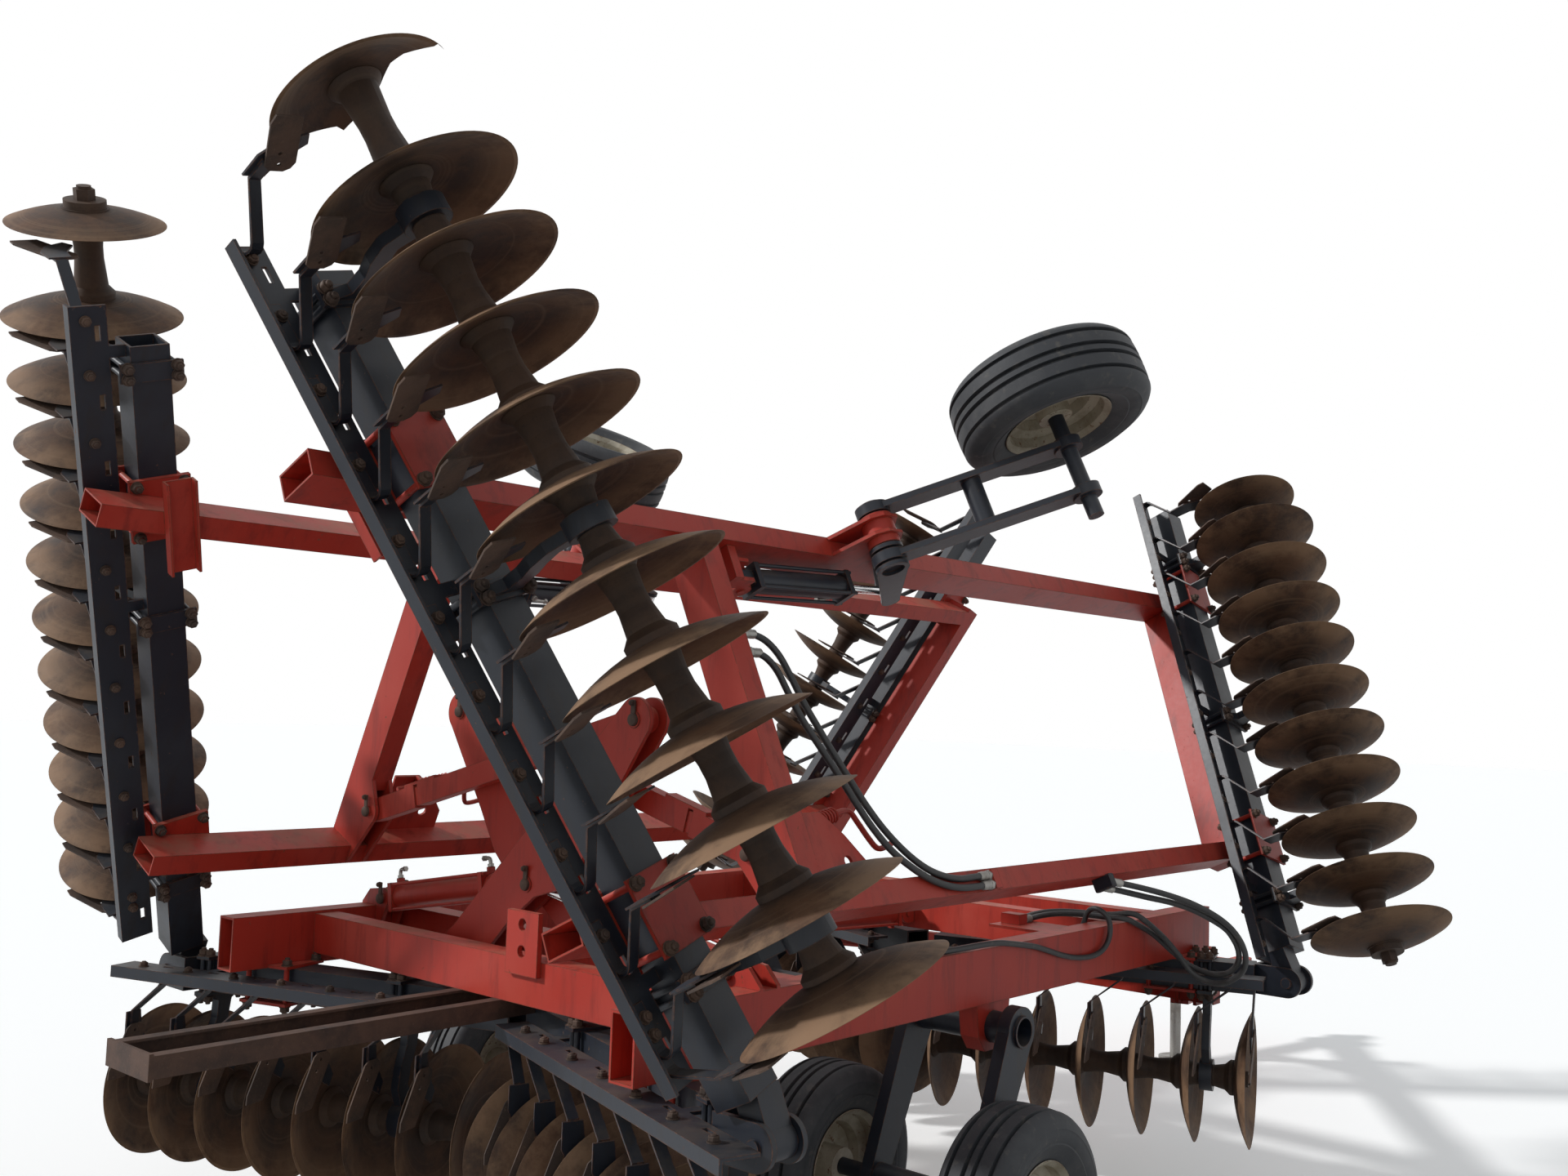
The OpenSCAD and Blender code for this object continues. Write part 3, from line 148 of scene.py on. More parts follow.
# %% Hose routes
RAIL_ROUTE = [(1.118, -0.902, 0.716), (1.118, -0.800, 0.716), (1.120, -0.660, 0.7155),
    (1.124, -0.500, 0.7155), (1.130, -0.340, 0.7155), (1.140, -0.190, 0.717),
    (1.152, -0.080, 0.720), (1.162, 0.010, 0.719), (1.163, 0.090, 0.709), (1.163, 0.180, 0.695),
    (1.163, 0.270, 0.679), (1.163, 0.360, 0.656), (1.163, 0.450, 0.631), (1.164, 0.550, 0.610),
    (1.165, 0.640, 0.600), (1.166, 0.720, 0.600), (1.168, 0.786, 0.616), (1.170, 0.826, 0.650),
    (1.171, 0.838, 0.692), (1.167, 0.832, 0.730), (1.151, 0.820, 0.758), (1.122, 0.815, 0.772),
    (1.090, 0.823, 0.766), (1.062, 0.842, 0.744), (1.036, 0.868, 0.710), (1.010, 0.896, 0.680),
    (0.982, 0.926, 0.658), (0.956, 0.956, 0.644), (0.950, 0.984, 0.640), (0.950, 1.004, 0.640)]
FEED_ROUTE = [(0.884, 0.624, 0.716), (0.884, 0.690, 0.716), (0.879, 0.770, 0.718),
    (0.884, 0.850, 0.719), (0.912, 0.912, 0.720), (0.966, 0.946, 0.721), (1.030, 0.956, 0.721),
    (1.094, 0.966, 0.721), (1.138, 0.986, 0.721), (1.160, 1.016, 0.714), (1.168, 1.056, 0.698),
    (1.170, 1.116, 0.676), (1.174, 1.186, 0.648), (1.184, 1.252, 0.611), (1.211, 1.310, 0.562),
    (1.267, 1.334, 0.516), (1.318, 1.340, 0.495), (1.378, 1.338, 0.485), (1.430, 1.332, 0.491),
    (1.470, 1.318, 0.508), (1.510, 1.290, 0.540), (1.542, 1.246, 0.576), (1.560, 1.200, 0.620),
    (1.566, 1.150, 0.664), (1.558, 1.090, 0.714), (1.530, 1.020, 0.756), (1.474, 0.950, 0.798),
    (1.416, 0.876, 0.826), (1.354, 0.806, 0.844), (1.290, 0.724, 0.866), (1.238, 0.628, 0.888)]
RETURN_ROUTE = [(0.848, 0.624, 0.716), (0.848, 0.700, 0.716), (0.838, 0.790, 0.719),
    (0.844, 0.884, 0.721), (0.884, 0.950, 0.723), (0.950, 0.980, 0.724), (1.024, 0.990, 0.725),
    (1.090, 1.004, 0.729), (1.138, 1.022, 0.737), (1.174, 1.048, 0.735), (1.198, 1.098, 0.704),
    (1.205, 1.180, 0.660), (1.216, 1.246, 0.616), (1.254, 1.290, 0.552), (1.296, 1.310, 0.490),
    (1.342, 1.322, 0.460), (1.394, 1.328, 0.450), (1.450, 1.324, 0.460), (1.500, 1.308, 0.488),
    (1.544, 1.280, 0.526), (1.576, 1.236, 0.574), (1.592, 1.184, 0.628), (1.594, 1.124, 0.682),
    (1.578, 1.060, 0.736), (1.542, 0.992, 0.784), (1.484, 0.922, 0.826), (1.424, 0.850, 0.856),
    (1.366, 0.784, 0.878), (1.310, 0.706, 0.898), (1.266, 0.640, 0.912)]
LIFT_ROUTE = [(3.070, -1.060, 0.560), (3.070, -1.018, 0.560), (3.048, -0.982, 0.553),
    (2.998, -0.964, 0.541), (2.920, -0.964, 0.526), (2.836, -0.958, 0.514), (2.762, -0.936, 0.508),
    (2.690, -0.904, 0.506), (2.600, -0.862, 0.505), (2.510, -0.822, 0.505), (2.420, -0.776, 0.505),
    (2.340, -0.716, 0.505), (2.280, -0.640, 0.506), (2.234, -0.556, 0.5085),
    (2.204, -0.466, 0.5105), (2.190, -0.380, 0.5105), (2.188, -0.290, 0.5105),
    (2.188, -0.200, 0.5105)]
LOWER_ROUTE = [(3.140, -1.060, 0.560), (3.140, -1.010, 0.560), (3.114, -0.960, 0.552),
    (3.056, -0.930, 0.540), (2.964, -0.920, 0.526), (2.870, -0.912, 0.515),
    (2.780, -0.888, 0.5085), (2.690, -0.856, 0.506), (2.600, -0.818, 0.505),
    (2.506, -0.776, 0.505), (2.414, -0.720, 0.505), (2.330, -0.644, 0.505), (2.270, -0.556, 0.508),
    (2.236, -0.462, 0.5105), (2.222, -0.376, 0.5105), (2.222, -0.290, 0.5105),
    (2.222, -0.200, 0.5105)]
print("route points:", len(RAIL_ROUTE), len(FEED_ROUTE), len(RETURN_ROUTE), len(LIFT_ROUTE),
    len(LOWER_ROUTE))

# %% Sweep a round section
SPAN_STEPS = 5


def clear():
    bpy.ops.object.select_all(action="DESELECT")


def pick(piece):
    clear()
    piece.select_set(True)
    bpy.context.view_layer.objects.active = piece


def smooth_line(points, steps):
    """Points on the smooth line through a route: a cubic between each pair of points."""
    line = []
    last = len(points) - 1
    for i in range(last):
        a, b = points[max(i - 1, 0)], points[i]
        c, d = points[i + 1], points[min(i + 2, last)]
        for k in range(steps):
            t = k / steps
            bend = (2 * a - 5 * b + 4 * c - d) * t * t / 2
            line.append(b + (c - a) * t / 2 + bend + (3 * b - a - 3 * c + d) * t * t * t / 2)
    return line + [points[last]]


def length_of(line):
    return sum((b - a).length for a, b in zip(line, line[1:]))


def swept(name, line, radius, rounding):
    """A round section swept along a line of points with a curve's bevel, then made a mesh."""
    curve = bpy.data.curves.new(name, "CURVE")
    curve.dimensions = "3D"
    spline = curve.splines.new("POLY")
    spline.points.add(len(line) - 1)
    for point, at in zip(spline.points, line):
        point.co = (*at, 1)
    spline.use_smooth = True
    curve.bevel_depth = radius
    curve.bevel_resolution = rounding
    curve.use_fill_caps = True
    piece = bpy.data.objects.new(name, curve)
    scene.collection.objects.link(piece)
    pick(piece)
    bpy.ops.object.convert(target="MESH")
    return bpy.context.object


print("steps in each span of a route:", SPAN_STEPS)

# %% Sweep the hoses
RAIL_HOSE_WIDTH = 0.022
WING_HOSE_WIDTH = 0.024
HOSE_ROUNDING = 4
HOSES = {}
for name, route, place, diameter, body in (
    ("rail_hose", RAIL_ROUTE, MACHINE, RAIL_HOSE_WIDTH, "frame"),
    ("wing_feed_hose", FEED_ROUTE, MACHINE, WING_HOSE_WIDTH, "frame"),
    ("wing_return_hose", RETURN_ROUTE, MACHINE, WING_HOSE_WIDTH, "frame"),
    ("wing_lift_hose", LIFT_ROUTE, wing(1), WING_HOSE_WIDTH, "right_wing"),
    ("wing_lower_hose", LOWER_ROUTE, wing(1), WING_HOSE_WIDTH, "right_wing"),
):
    line = smooth_line([place @ (Vector(p) + Vector((0, 0, AXLE))) for p in route], SPAN_STEPS)
    piece = swept("swept_" + name, line, diameter / 2, HOSE_ROUNDING)
    HOSES[name] = (piece, line, diameter, body)
    print(name, round(length_of(line), 3), "m")

# %% [markdown]
# ## Shader sums as Python
# A finish is mostly arithmetic on noises. One small class wraps a socket, so that
# `chips * edge + 0.2` adds the Math nodes by itself. A second one adds nodes to a tree, and a
# third is a material with its coordinates and its shader.

# %% Socket class


class Value:
    """A socket that can be added, multiplied and so on as a number can."""

    def __init__(self, nodes, socket):
        self.nodes = nodes
        self.socket = socket

    def math(self, operation, first, second, clamp=False):
        settings = {"operation": operation, "use_clamp": clamp}
        node = self.nodes.add("ShaderNodeMath", settings)
        self.nodes.put(node.inputs[0], first)
        self.nodes.put(node.inputs[1], second)
        return Value(self.nodes, node.outputs[0])

    def __add__(self, other):
        return self.math("ADD", self, other)

    def __radd__(self, other):
        return self.math("ADD", other, self)

    def __sub__(self, other):
        return self.math("SUBTRACT", self, other)

    def __rsub__(self, other):
        return self.math("SUBTRACT", other, self)

    def __mul__(self, other):
        return self.math("MULTIPLY", self, other)

    def __rmul__(self, other):
        return self.math("MULTIPLY", other, self)

    def clamped(self):
        return self.math("ADD", self, 0.0, clamp=True)

    def most(self, other):
        return self.math("MAXIMUM", self, other)

    def band(self, low, high):
        """0 below low, 1 above high, smooth between."""
        node = self.nodes.add("ShaderNodeMapRange", {"interpolation_type": "SMOOTHSTEP"},
            Value=self, From_Min=low, From_Max=high)
        return Value(self.nodes, node.outputs["Result"])


print("sums on sockets: + - * clamped most band")

# %% Node tree class


class Nodes:
    """A node tree, and the one method that adds nodes to it."""

    def __init__(self, tree):
        self.tree = tree

    def put(self, socket, item):
        if isinstance(item, Value):
            item = item.socket
        if isinstance(item, bpy.types.NodeSocket):
            self.tree.links.new(item, socket)
        elif isinstance(item, tuple) and len(item) == 3 and socket.type == "RGBA":
            socket.default_value = (*item, 1.0)
        else:
            socket.default_value = item

    def add(self, kind, settings=None, **inputs):
        node = self.tree.nodes.new(kind)
        for key, item in (settings or {}).items():
            setattr(node, key, item)
        for key, item in inputs.items():
            self.put(node.inputs[key.replace("_", " ")], item)
        return node

    def vector(self, operation, first, second=None, scale=None):
        node = self.add("ShaderNodeVectorMath", {"operation": operation})
        self.put(node.inputs[0], first)
        if second is not None:
            self.put(node.inputs[1], second)
        if scale is not None:
            self.put(node.inputs["Scale"], scale)
        return node.outputs["Value" if operation in ("DOT_PRODUCT", "LENGTH") else "Vector"]

    def mix(self, share, first, second):
        node = self.add("ShaderNodeMix", {"data_type": "RGBA"})
        self.put(node.inputs[0], share)
        self.put(node.inputs[6], first)
        self.put(node.inputs[7], second)
        return node.outputs[2]


print("node tree class ready")

# %% Material class


class Finish(Nodes):
    """One material: its nodes, its coordinates and its shader."""

    def __init__(self, name):
        self.material = bpy.data.materials.new(name)
        self.material.use_nodes = True
        super().__init__(self.material.node_tree)
        self.shader = self.tree.nodes["Principled BSDF"]
        self.place = self.add("ShaderNodeTexCoord").outputs["Object"]

    def noise(self, scale, detail=4.0, rough=0.55, at=None, stretch=None):
        at = at or self.place
        if stretch:
            at = self.vector("MULTIPLY", at, stretch)
        node = self.add("ShaderNodeTexNoise", Vector=at, Scale=scale, Detail=detail,
            Roughness=rough)
        return Value(self, node.outputs["Fac"])

    def facing(self, direction):
        """How far the surface faces a direction of the piece, from -1 to 1."""
        normal = self.add("ShaderNodeTexCoord").outputs["Normal"]
        return Value(self, self.vector("DOT_PRODUCT", normal, direction))

    def edges(self, reach):
        """Near 1 along sharp edges within reach, 0 on open faces."""
        soft = self.add("ShaderNodeBevel", {"samples": 4}, Radius=reach)
        plain = self.add("ShaderNodeNewGeometry").outputs["Normal"]
        return 1.0 - Value(self, self.vector("DOT_PRODUCT", soft.outputs["Normal"], plain))

    def bump(self, height, depth):
        node = self.add("ShaderNodeBump", Strength=1.0, Distance=depth, Height=height)
        self.put(self.shader.inputs["Normal"], node.outputs["Normal"])

    def set(self, **inputs):
        for key, item in inputs.items():
            self.put(self.shader.inputs[key.replace("_", " ")], item)
        return self.material


print("material class ready")

# %% [markdown]
# ## Weathered enamel
# The frame was sprayed orange-red. Years outdoors have made it chalky in patches, stained it in
# streaks, and worn it to rust along edges and in chips. Faces turned up are painted lighter and
# chalkier, partly the sun's fading and partly a painted highlight of sunlit tops. Noises and the
# mesh's own edges make all that, so no picture has to be wrapped and every piece wears where it
# would.
# The blue-black of the gang tubes is the same recipe with other colours.

# %% Enamel
RUST_DARK = (0.050, 0.022, 0.013)
RUST_LIGHT = (0.14, 0.058, 0.027)
UPWARD = (0.0, 0.0, 1.0)
DOWN_STREAKS = (5.0, 5.0, 0.7)


def enamel(name, base, chalk_and_highlight, deep, dirt, wear=1.0, gloss=0.42):
    f = Finish(name)
    cloud = f.noise(1.9, 5.0)
    fine = f.noise(46.0, 6.0, 0.7)
    # Faces turned up take more chalk colour, partly the sun's fading and partly a painted
    # highlight of sunlit tops. Dust also settles there.
    sky = f.facing(UPWARD).band(0.25, 0.95)
    fade_and_top_highlight = (sky * 0.45 + cloud.band(0.44, 0.72) * 0.45).clamped()
    streaks = f.noise(3.0, 5.0, 0.65, stretch=DOWN_STREAKS).band(0.48, 0.72)
    edge = f.edges(0.007).band(0.02, 0.22)
    chips = (f.noise(30.0, 6.0, 0.72) + edge * 0.26).band(0.66, 0.705)
    chips = (chips * (f.noise(2.6, 3.0).band(0.34, 0.56) + edge)).clamped() * wear
    # Chalk colour from random fading in patches and from the painted highlight on faces turned up.
    colour = f.mix(fade_and_top_highlight, base, chalk_and_highlight)
    colour = f.mix(streaks * 0.6, colour, deep)
    colour = f.mix(fine.band(0.55, 0.85) * 0.25, colour, chalk_and_highlight)
    dust = (sky * f.noise(7.0, 5.0, 0.6).band(0.40, 0.66)) * 0.5
    colour = f.mix(dust, colour, dirt)
    rust = f.mix(f.noise(60.0).band(0.4, 0.6), RUST_DARK, RUST_LIGHT)
    colour = f.mix(chips, colour, rust)
    rough = gloss + 0.16 * fade_and_top_highlight + 0.1 * fine + 0.28 * chips + 0.14 * dust
    f.bump(fine * 0.25 - chips * 0.8 + f.noise(9.0, 3.0) * 0.6, 0.0009)
    return f.set(Base_Color=colour, Roughness=rough.clamped(), Specular_IOR_Level=0.36)


RED_PAINT = enamel("weathered_red_enamel", base=(0.43, 0.030, 0.016), chalk_and_highlight=(0.53, 0.090, 0.060),
    deep=(0.18, 0.015, 0.010), dirt=(0.32, 0.17, 0.11))
BLACK_PAINT = enamel("worn_blue_black_enamel", base=(0.010, 0.013, 0.021),
    chalk_and_highlight=(0.036, 0.042, 0.052), deep=(0.015, 0.012, 0.011), dirt=(0.10, 0.078, 0.060),
    wear=1.1, gloss=0.36)
print("enamels:", RED_PAINT.name, BLACK_PAINT.name)

# %% [markdown]
# ## Disc steel
# The blades were polished by soil and have rusted since. Rust lies in rings round the axle.
# Towards the rim lie tan patches, partly dust and partly painted sunlight on the dish, and the hub
# is darker with painted shade where the neighbouring blades stand close. The distance from the
# axle is a sum on vectors, and a noise read by that distance makes rings. Each gang has its own
# axle, so each gets its own copy of the finish.

# %% Disc steel
DISC_DARK = (0.040, 0.023, 0.016)
DISC_BROWN = (0.105, 0.057, 0.034)
DISC_RING = (0.20, 0.130, 0.082)
DISC_ORANGE = (0.130, 0.058, 0.026)
DISC_SPECK = (0.030, 0.019, 0.015)
DISC_DUST_AND_SUNLIGHT = (0.29, 0.175, 0.100)
DISC_HUB_SHADE = (0.036, 0.027, 0.022)
RINGS_ACROSS = 60.0
RINGS_ALONG = 4.0


def disc_steel(name, centre, axis):
    f = Finish(name)
    rel = f.vector("SUBTRACT", f.place, tuple(centre))
    along = f.vector("DOT_PRODUCT", rel, tuple(axis))
    radial = f.vector("SUBTRACT", rel, f.vector("SCALE", tuple(axis), scale=along))
    radius = Value(f, f.vector("LENGTH", radial))
    span = Value(f, along)
    ring_at = f.add("ShaderNodeCombineXYZ", X=radius * RINGS_ACROSS, Y=span * RINGS_ALONG)
    rings = f.noise(1.0, 5.0, 0.6, at=ring_at.outputs[0])
    mottle = f.noise(7.0, 7.0, 0.68)
    speck = f.noise(90.0, 4.0, 0.6)
    colour = f.mix(mottle.band(0.38, 0.62), DISC_DARK, DISC_BROWN)
    colour = f.mix(rings.band(0.5, 0.72) * 0.5, colour, DISC_RING)
    colour = f.mix(f.noise(3.0, 5.0).band(0.5, 0.7) * 0.5, colour, DISC_ORANGE)
    colour = f.mix(speck.band(0.58, 0.75) * 0.6, colour, DISC_SPECK)
    # Tan towards the rim: partly soil dust, partly painted sunlight on the dish.
    dust_and_sunlight = radius.band(0.15, 0.27) * f.noise(4.0, 6.0, 0.65).band(0.36, 0.60)
    colour = f.mix(dust_and_sunlight * 0.75, colour, DISC_DUST_AND_SUNLIGHT)
    # Darker towards the hub: painted shade where the neighbouring blades stand close.
    hub_shade = 1.0 - radius.band(0.07, 0.12)
    colour = f.mix(hub_shade * 0.5, colour, DISC_HUB_SHADE)
    f.bump(mottle * 0.7 + speck * 0.3 + rings * 0.3, 0.0012)
    rough = (0.52 + 0.3 * mottle).clamped()
    return f.set(Base_Color=colour, Roughness=rough, Metallic=0.1, Specular_IOR_Level=0.3)


print("disc steel: rings every", round(1 / RINGS_ACROSS, 3), "m or so")

# %% [markdown]
# ## Rubber, rims, chrome, zinc and rust
# Tyre rubber greys and holds dust, cream rims stain brown from their edges, and the rods keep
# their chrome under a little pitting. Each recipe is a function, so that one rubber makes both
# the tyres' and the darker, smoother one of the hoses, and one rust the channels' and the bolts'.

# %% Recipes of the other finishes
RIM_CREAM = (0.52, 0.47, 0.37)
RIM_STAIN = (0.33, 0.28, 0.20)
RIM_RUST = (0.16, 0.075, 0.035)


def rubber(name, dark, grey, dust, grain_size, rough):
    f = Finish(name)
    grain = f.noise(grain_size, 3.0)
    cloud = f.noise(5.0, 5.0, 0.6)
    colour = f.mix(cloud.band(0.4, 0.68) * 0.75, dark, grey)
    colour = f.mix(f.noise(24.0, 5.0).band(0.56, 0.74) * 0.4, colour, dust)
    f.bump(grain * 0.4 + cloud, 0.0009)
    return f.set(Base_Color=colour, Roughness=(rough + 0.25 * cloud).clamped())


def rim_paint(name):
    f = Finish(name)
    cloud = f.noise(8.0, 6.0, 0.65)
    spots = f.noise(38.0, 5.0, 0.7)
    edge = f.edges(0.006).band(0.05, 0.3)
    colour = f.mix(cloud.band(0.38, 0.66), RIM_CREAM, RIM_STAIN)
    colour = f.mix((spots + edge * 0.2).band(0.6, 0.68), colour, RIM_RUST)
    f.bump(spots * 0.4 + cloud * 0.5, 0.0008)
    return f.set(Base_Color=colour, Roughness=(0.48 + 0.3 * cloud).clamped())


def bright_metal(name, clean, dull, pit, smooth, metal):
    f = Finish(name)
    cloud = f.noise(12.0, 5.0)
    pits = f.noise(140.0, 3.0).band(0.62, 0.74)
    colour = f.mix(cloud.band(0.45, 0.7) * 0.45, clean, dull)
    colour = f.mix(pits * 0.7, colour, pit)
    rough = (smooth + 0.3 * cloud.band(0.45, 0.7)).clamped()
    return f.set(Base_Color=colour, Roughness=rough, Metallic=metal)


def rusted(name, dark, light, dry):
    f = Finish(name)
    cloud = f.noise(6.0, 7.0, 0.66)
    speck = f.noise(75.0, 5.0, 0.7)
    colour = f.mix(cloud.band(0.36, 0.64), dark, light)
    colour = f.mix(speck.band(0.56, 0.76) * 0.6, colour, dry)
    f.bump(cloud * 0.6 + speck * 0.5, 0.0014)
    return f.set(Base_Color=colour, Roughness=(0.62 + 0.25 * speck).clamped(), Metallic=0.15)


print("recipes: rubber, rim paint, bright metal, rust")

# %% The other finishes
TYRE = rubber("weathered_tyre_rubber", dark=(0.021, 0.0235, 0.028), grey=(0.070, 0.071, 0.074),
    dust=(0.13, 0.118, 0.10), grain_size=220.0, rough=0.56)
HOSE_RUBBER = rubber("dusty_hose_rubber", dark=(0.012, 0.0125, 0.014),
    grey=(0.035, 0.034, 0.033), dust=(0.085, 0.076, 0.064), grain_size=300.0, rough=0.42)
RIM = rim_paint("chalky_cream_rim")
CHROME = bright_metal("pitted_rod_chrome", clean=(0.70, 0.71, 0.72), dull=(0.42, 0.39, 0.34),
    pit=(0.14, 0.08, 0.05), smooth=0.13, metal=0.96)
ZINC = bright_metal("dull_zinc", clean=(0.30, 0.29, 0.27), dull=(0.17, 0.14, 0.11),
    pit=(0.10, 0.055, 0.030), smooth=0.36, metal=0.7)
CHANNEL_RUST = rusted("brown_channel_rust", dark=(0.032, 0.018, 0.013),
    light=(0.085, 0.046, 0.031), dry=(0.16, 0.10, 0.07))
BOLT_RUST = rusted("brown_bolt_rust", dark=(0.040, 0.026, 0.020), light=(0.105, 0.062, 0.042),
    dry=(0.19, 0.135, 0.10))
print("finishes so far:", len(bpy.data.materials))

# %% [markdown]
# ## A small workbench
# An operator acts on all that is selected, and loading the frame leaves the steel selected, so
# each new piece starts from an empty selection. A piece is made at the origin or in the plain
# drawing, and then its mesh is carried by a place matrix. Its object stays at the origin, so that
# a pattern that is counted from there doesn't slide.

# %% Join, move and copy


def join(pieces, name):
    clear()
    for piece in pieces:
        piece.select_set(True)
    bpy.context.view_layer.objects.active = pieces[0]
    if len(pieces) > 1:
        bpy.ops.object.join()
    pieces[0].name = name
    return pieces[0]


def move(piece, place):
    """Carries the mesh to its place, and turns its faces out again where a side is mirrored."""
    piece.data.transform(place)
    if place.determinant() < 0:
        piece.data.flip_normals()


def settle(piece):
    """Puts the piece's own place into its mesh and leaves its object at the origin."""
    pick(piece)
    bpy.ops.object.transform_apply(location=True, rotation=True, scale=True)
    return piece


def copies(master, places, name):
    """A copy of the master at each place, joined into one piece."""
    made = []
    for place in places:
        piece = master.copy()
        piece.data = master.data.copy()
        scene.collection.objects.link(piece)
        move(piece, place)
        made.append(piece)
    return join(made, name)


def discard(*pieces):
    for piece in pieces:
        bpy.data.objects.remove(piece, do_unlink=True)


print("pieces can be joined, moved, copied and discarded")

# %% Edges, shading and faces
SHARP = math.radians(40)
MERGE = 1e-5


def chamfer(piece, width):
    bevel = piece.modifiers.new("chamfer", "BEVEL")
    bevel.width = width
    bevel.limit_method = "ANGLE"
    bevel.angle_limit = SHARP
    pick(piece)
    bpy.ops.object.modifier_apply(modifier="chamfer")


def soften(piece, degrees=35):
    pick(piece)
    bpy.ops.object.shade_smooth_by_angle(angle=math.radians(degrees))


def outward(merge=True):
    """In edit mode, merges points that fall together and points all faces outwards."""
    bpy.ops.mesh.select_all(action="SELECT")
    if merge:
        bpy.ops.mesh.remove_doubles(threshold=MERGE)
    bpy.ops.mesh.normals_make_consistent(inside=False)


def drawn(name, points, edges, faces):
    """A mesh of a few points, taken into edit mode for its operators."""
    mesh = bpy.data.meshes.new(name)
    mesh.from_pydata(points, edges, faces)
    piece = bpy.data.objects.new(name, mesh)
    scene.collection.objects.link(piece)
    pick(piece)
    bpy.ops.object.mode_set(mode="EDIT")
    bpy.ops.mesh.select_all(action="SELECT")
    return piece


print("edges sharper than", round(math.degrees(SHARP)), "degrees get a chamfer")

# %% Blocks, turned pieces and wires
BREAK = 0.14
WIRE_ROUNDING = 2


def block(size, middle):
    """A plate or block with broken edges."""
    clear()
    bpy.ops.mesh.primitive_cube_add(size=1, location=middle, scale=size)
    piece = settle(bpy.context.object)
    chamfer(piece, min(size) * BREAK)
    return piece


def cylinder(sides, radius, depth, height):
    """A short cylinder on Z with its middle at a height, to be worked on or joined."""
    clear()
    bpy.ops.mesh.primitive_cylinder_add(vertices=sides, radius=radius, depth=depth,
        location=(0, 0, height))
    return settle(bpy.context.object)


def turned(profile, steps, name="turned"):
    """A ring or knob spun round Z from its outline of (radius, height) points."""
    edges = [(i, i + 1) for i in range(len(profile) - 1)]
    piece = drawn(name, [(r, 0, h) for r, h in profile], edges, [])
    bpy.ops.mesh.spin(steps=steps, angle=2 * math.pi, center=(0, 0, 0), axis=(0, 0, 1))
    outward()
    bpy.ops.object.mode_set(mode="OBJECT")
    return piece


def wire(name, points, radius, steps=6):
    """A bent bar or spring: a round section swept along a smooth line."""
    piece = swept(name, smooth_line([Vector(p) for p in points], steps), radius,
        WIRE_ROUNDING)
    bpy.ops.object.mode_set(mode="EDIT")
    outward()
    bpy.ops.object.mode_set(mode="OBJECT")
    soften(piece, 50)
    return piece


def dress(piece, material, body):
    piece.data.materials.clear()
    piece.data.materials.append(material)
    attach(piece, body)
    return piece


def aim(at, along):
    """The matrix that carries a piece made along Z to a place and a direction."""
    turn = Vector(along).to_track_quat("Z", "Y").to_matrix().to_4x4()
    return Matrix.Translation(Vector(at)) @ turn


print("edges are broken by", BREAK, "of a plate's thickness")

# %% [markdown]
# ## Hose ends
# A hose ends in a crimped ferrule and a hexagon nut. The outline of the ferrule is spun round,
# the nut is a six-sided cylinder with broken edges, and one pair is copied to every end.

# %% Hose end
FERRULE = [(0.0085, 0.006), (0.0145, 0.006), (0.0165, 0.010), (0.0158, 0.018), (0.0166, 0.026),
    (0.0158, 0.034), (0.0166, 0.042), (0.0158, 0.050), (0.0160, 0.058), (0.0128, 0.063)]
FERRULE_STEPS = 20
SWIVEL_RADIUS = 0.0195
SWIVEL_LENGTH = 0.018
SWIVEL_BREAK = 0.0015
ferrule = turned(FERRULE, FERRULE_STEPS)
swivel = cylinder(6, SWIVEL_RADIUS, SWIVEL_LENGTH, SWIVEL_LENGTH / 2)
chamfer(swivel, SWIVEL_BREAK)
hose_end = join([ferrule, swivel], "hose_end")
print("faces in a hose end:", len(hose_end.data.polygons))

# %% [markdown]
# The far ends of the two hoses that cross the hinge ride the wing, and the hoses themselves
# have their place put into their meshes and ride no body.

CROSSING = {"wing_feed_hose", "wing_return_hose"}
for name, (piece, line, diameter, body) in HOSES.items():
    first = aim(line[0], line[SPAN_STEPS] - line[0])
    last = aim(line[-1], line[-1 - SPAN_STEPS] - line[-1])
    for word, place in (("start", first), ("end", last)):
        end = copies(hose_end, [place], name + "_" + word)
        soften(end)
        on_wing = name in CROSSING and word == "end"
        dress(end, ZINC, "right_wing" if on_wing else body)
    piece.data.materials.append(HOSE_RUBBER)
    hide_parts(name)
    if name in CROSSING:
        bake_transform(piece)
    else:
        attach(piece, body)
    tuple(line[0])
    length_of(line)
    [tuple(p) for p in line]
    print(name, "ends at", [round(v, 3) for v in line[-1]])
discard(hose_end)

# %% [markdown]
# ## Finishes on the CAD nodes
# Every node keeps its shape and takes the finish of its real piece. The hoses' and the tyres'
# nodes are stood for by pieces made here.

# %% Assign finishes
BLACK_WORDS = ("gang_beams", "scraper", "rockshaft")


def body_joint(body):
    return next(j for j in frame["joints"] if j["child"] == body)


def finish_of(name):
    if name.endswith("_gang"):
        joint = body_joint(name)
        return disc_steel("disc_steel_" + name, joint["pos_m"], joint["axis"])
    if name.endswith("_hose"):
        return HOSE_RUBBER
    if "tyre" in name:
        return TYRE
    if "rim" in name:
        return RIM
    if name.endswith("_rod"):
        return CHROME
    if name == "jack_leg":
        return ZINC
    if name == "rear_drawbars":
        return CHANNEL_RUST
    if name.endswith("wing_cylinder") or any(word in name for word in BLACK_WORDS):
        return BLACK_PAINT
    return RED_PAINT


for node_name, obj in NODES.items():
    obj.data.materials.clear()
    obj.data.materials.append(finish_of(node_name))
print("finishes on", len(NODES), "nodes")

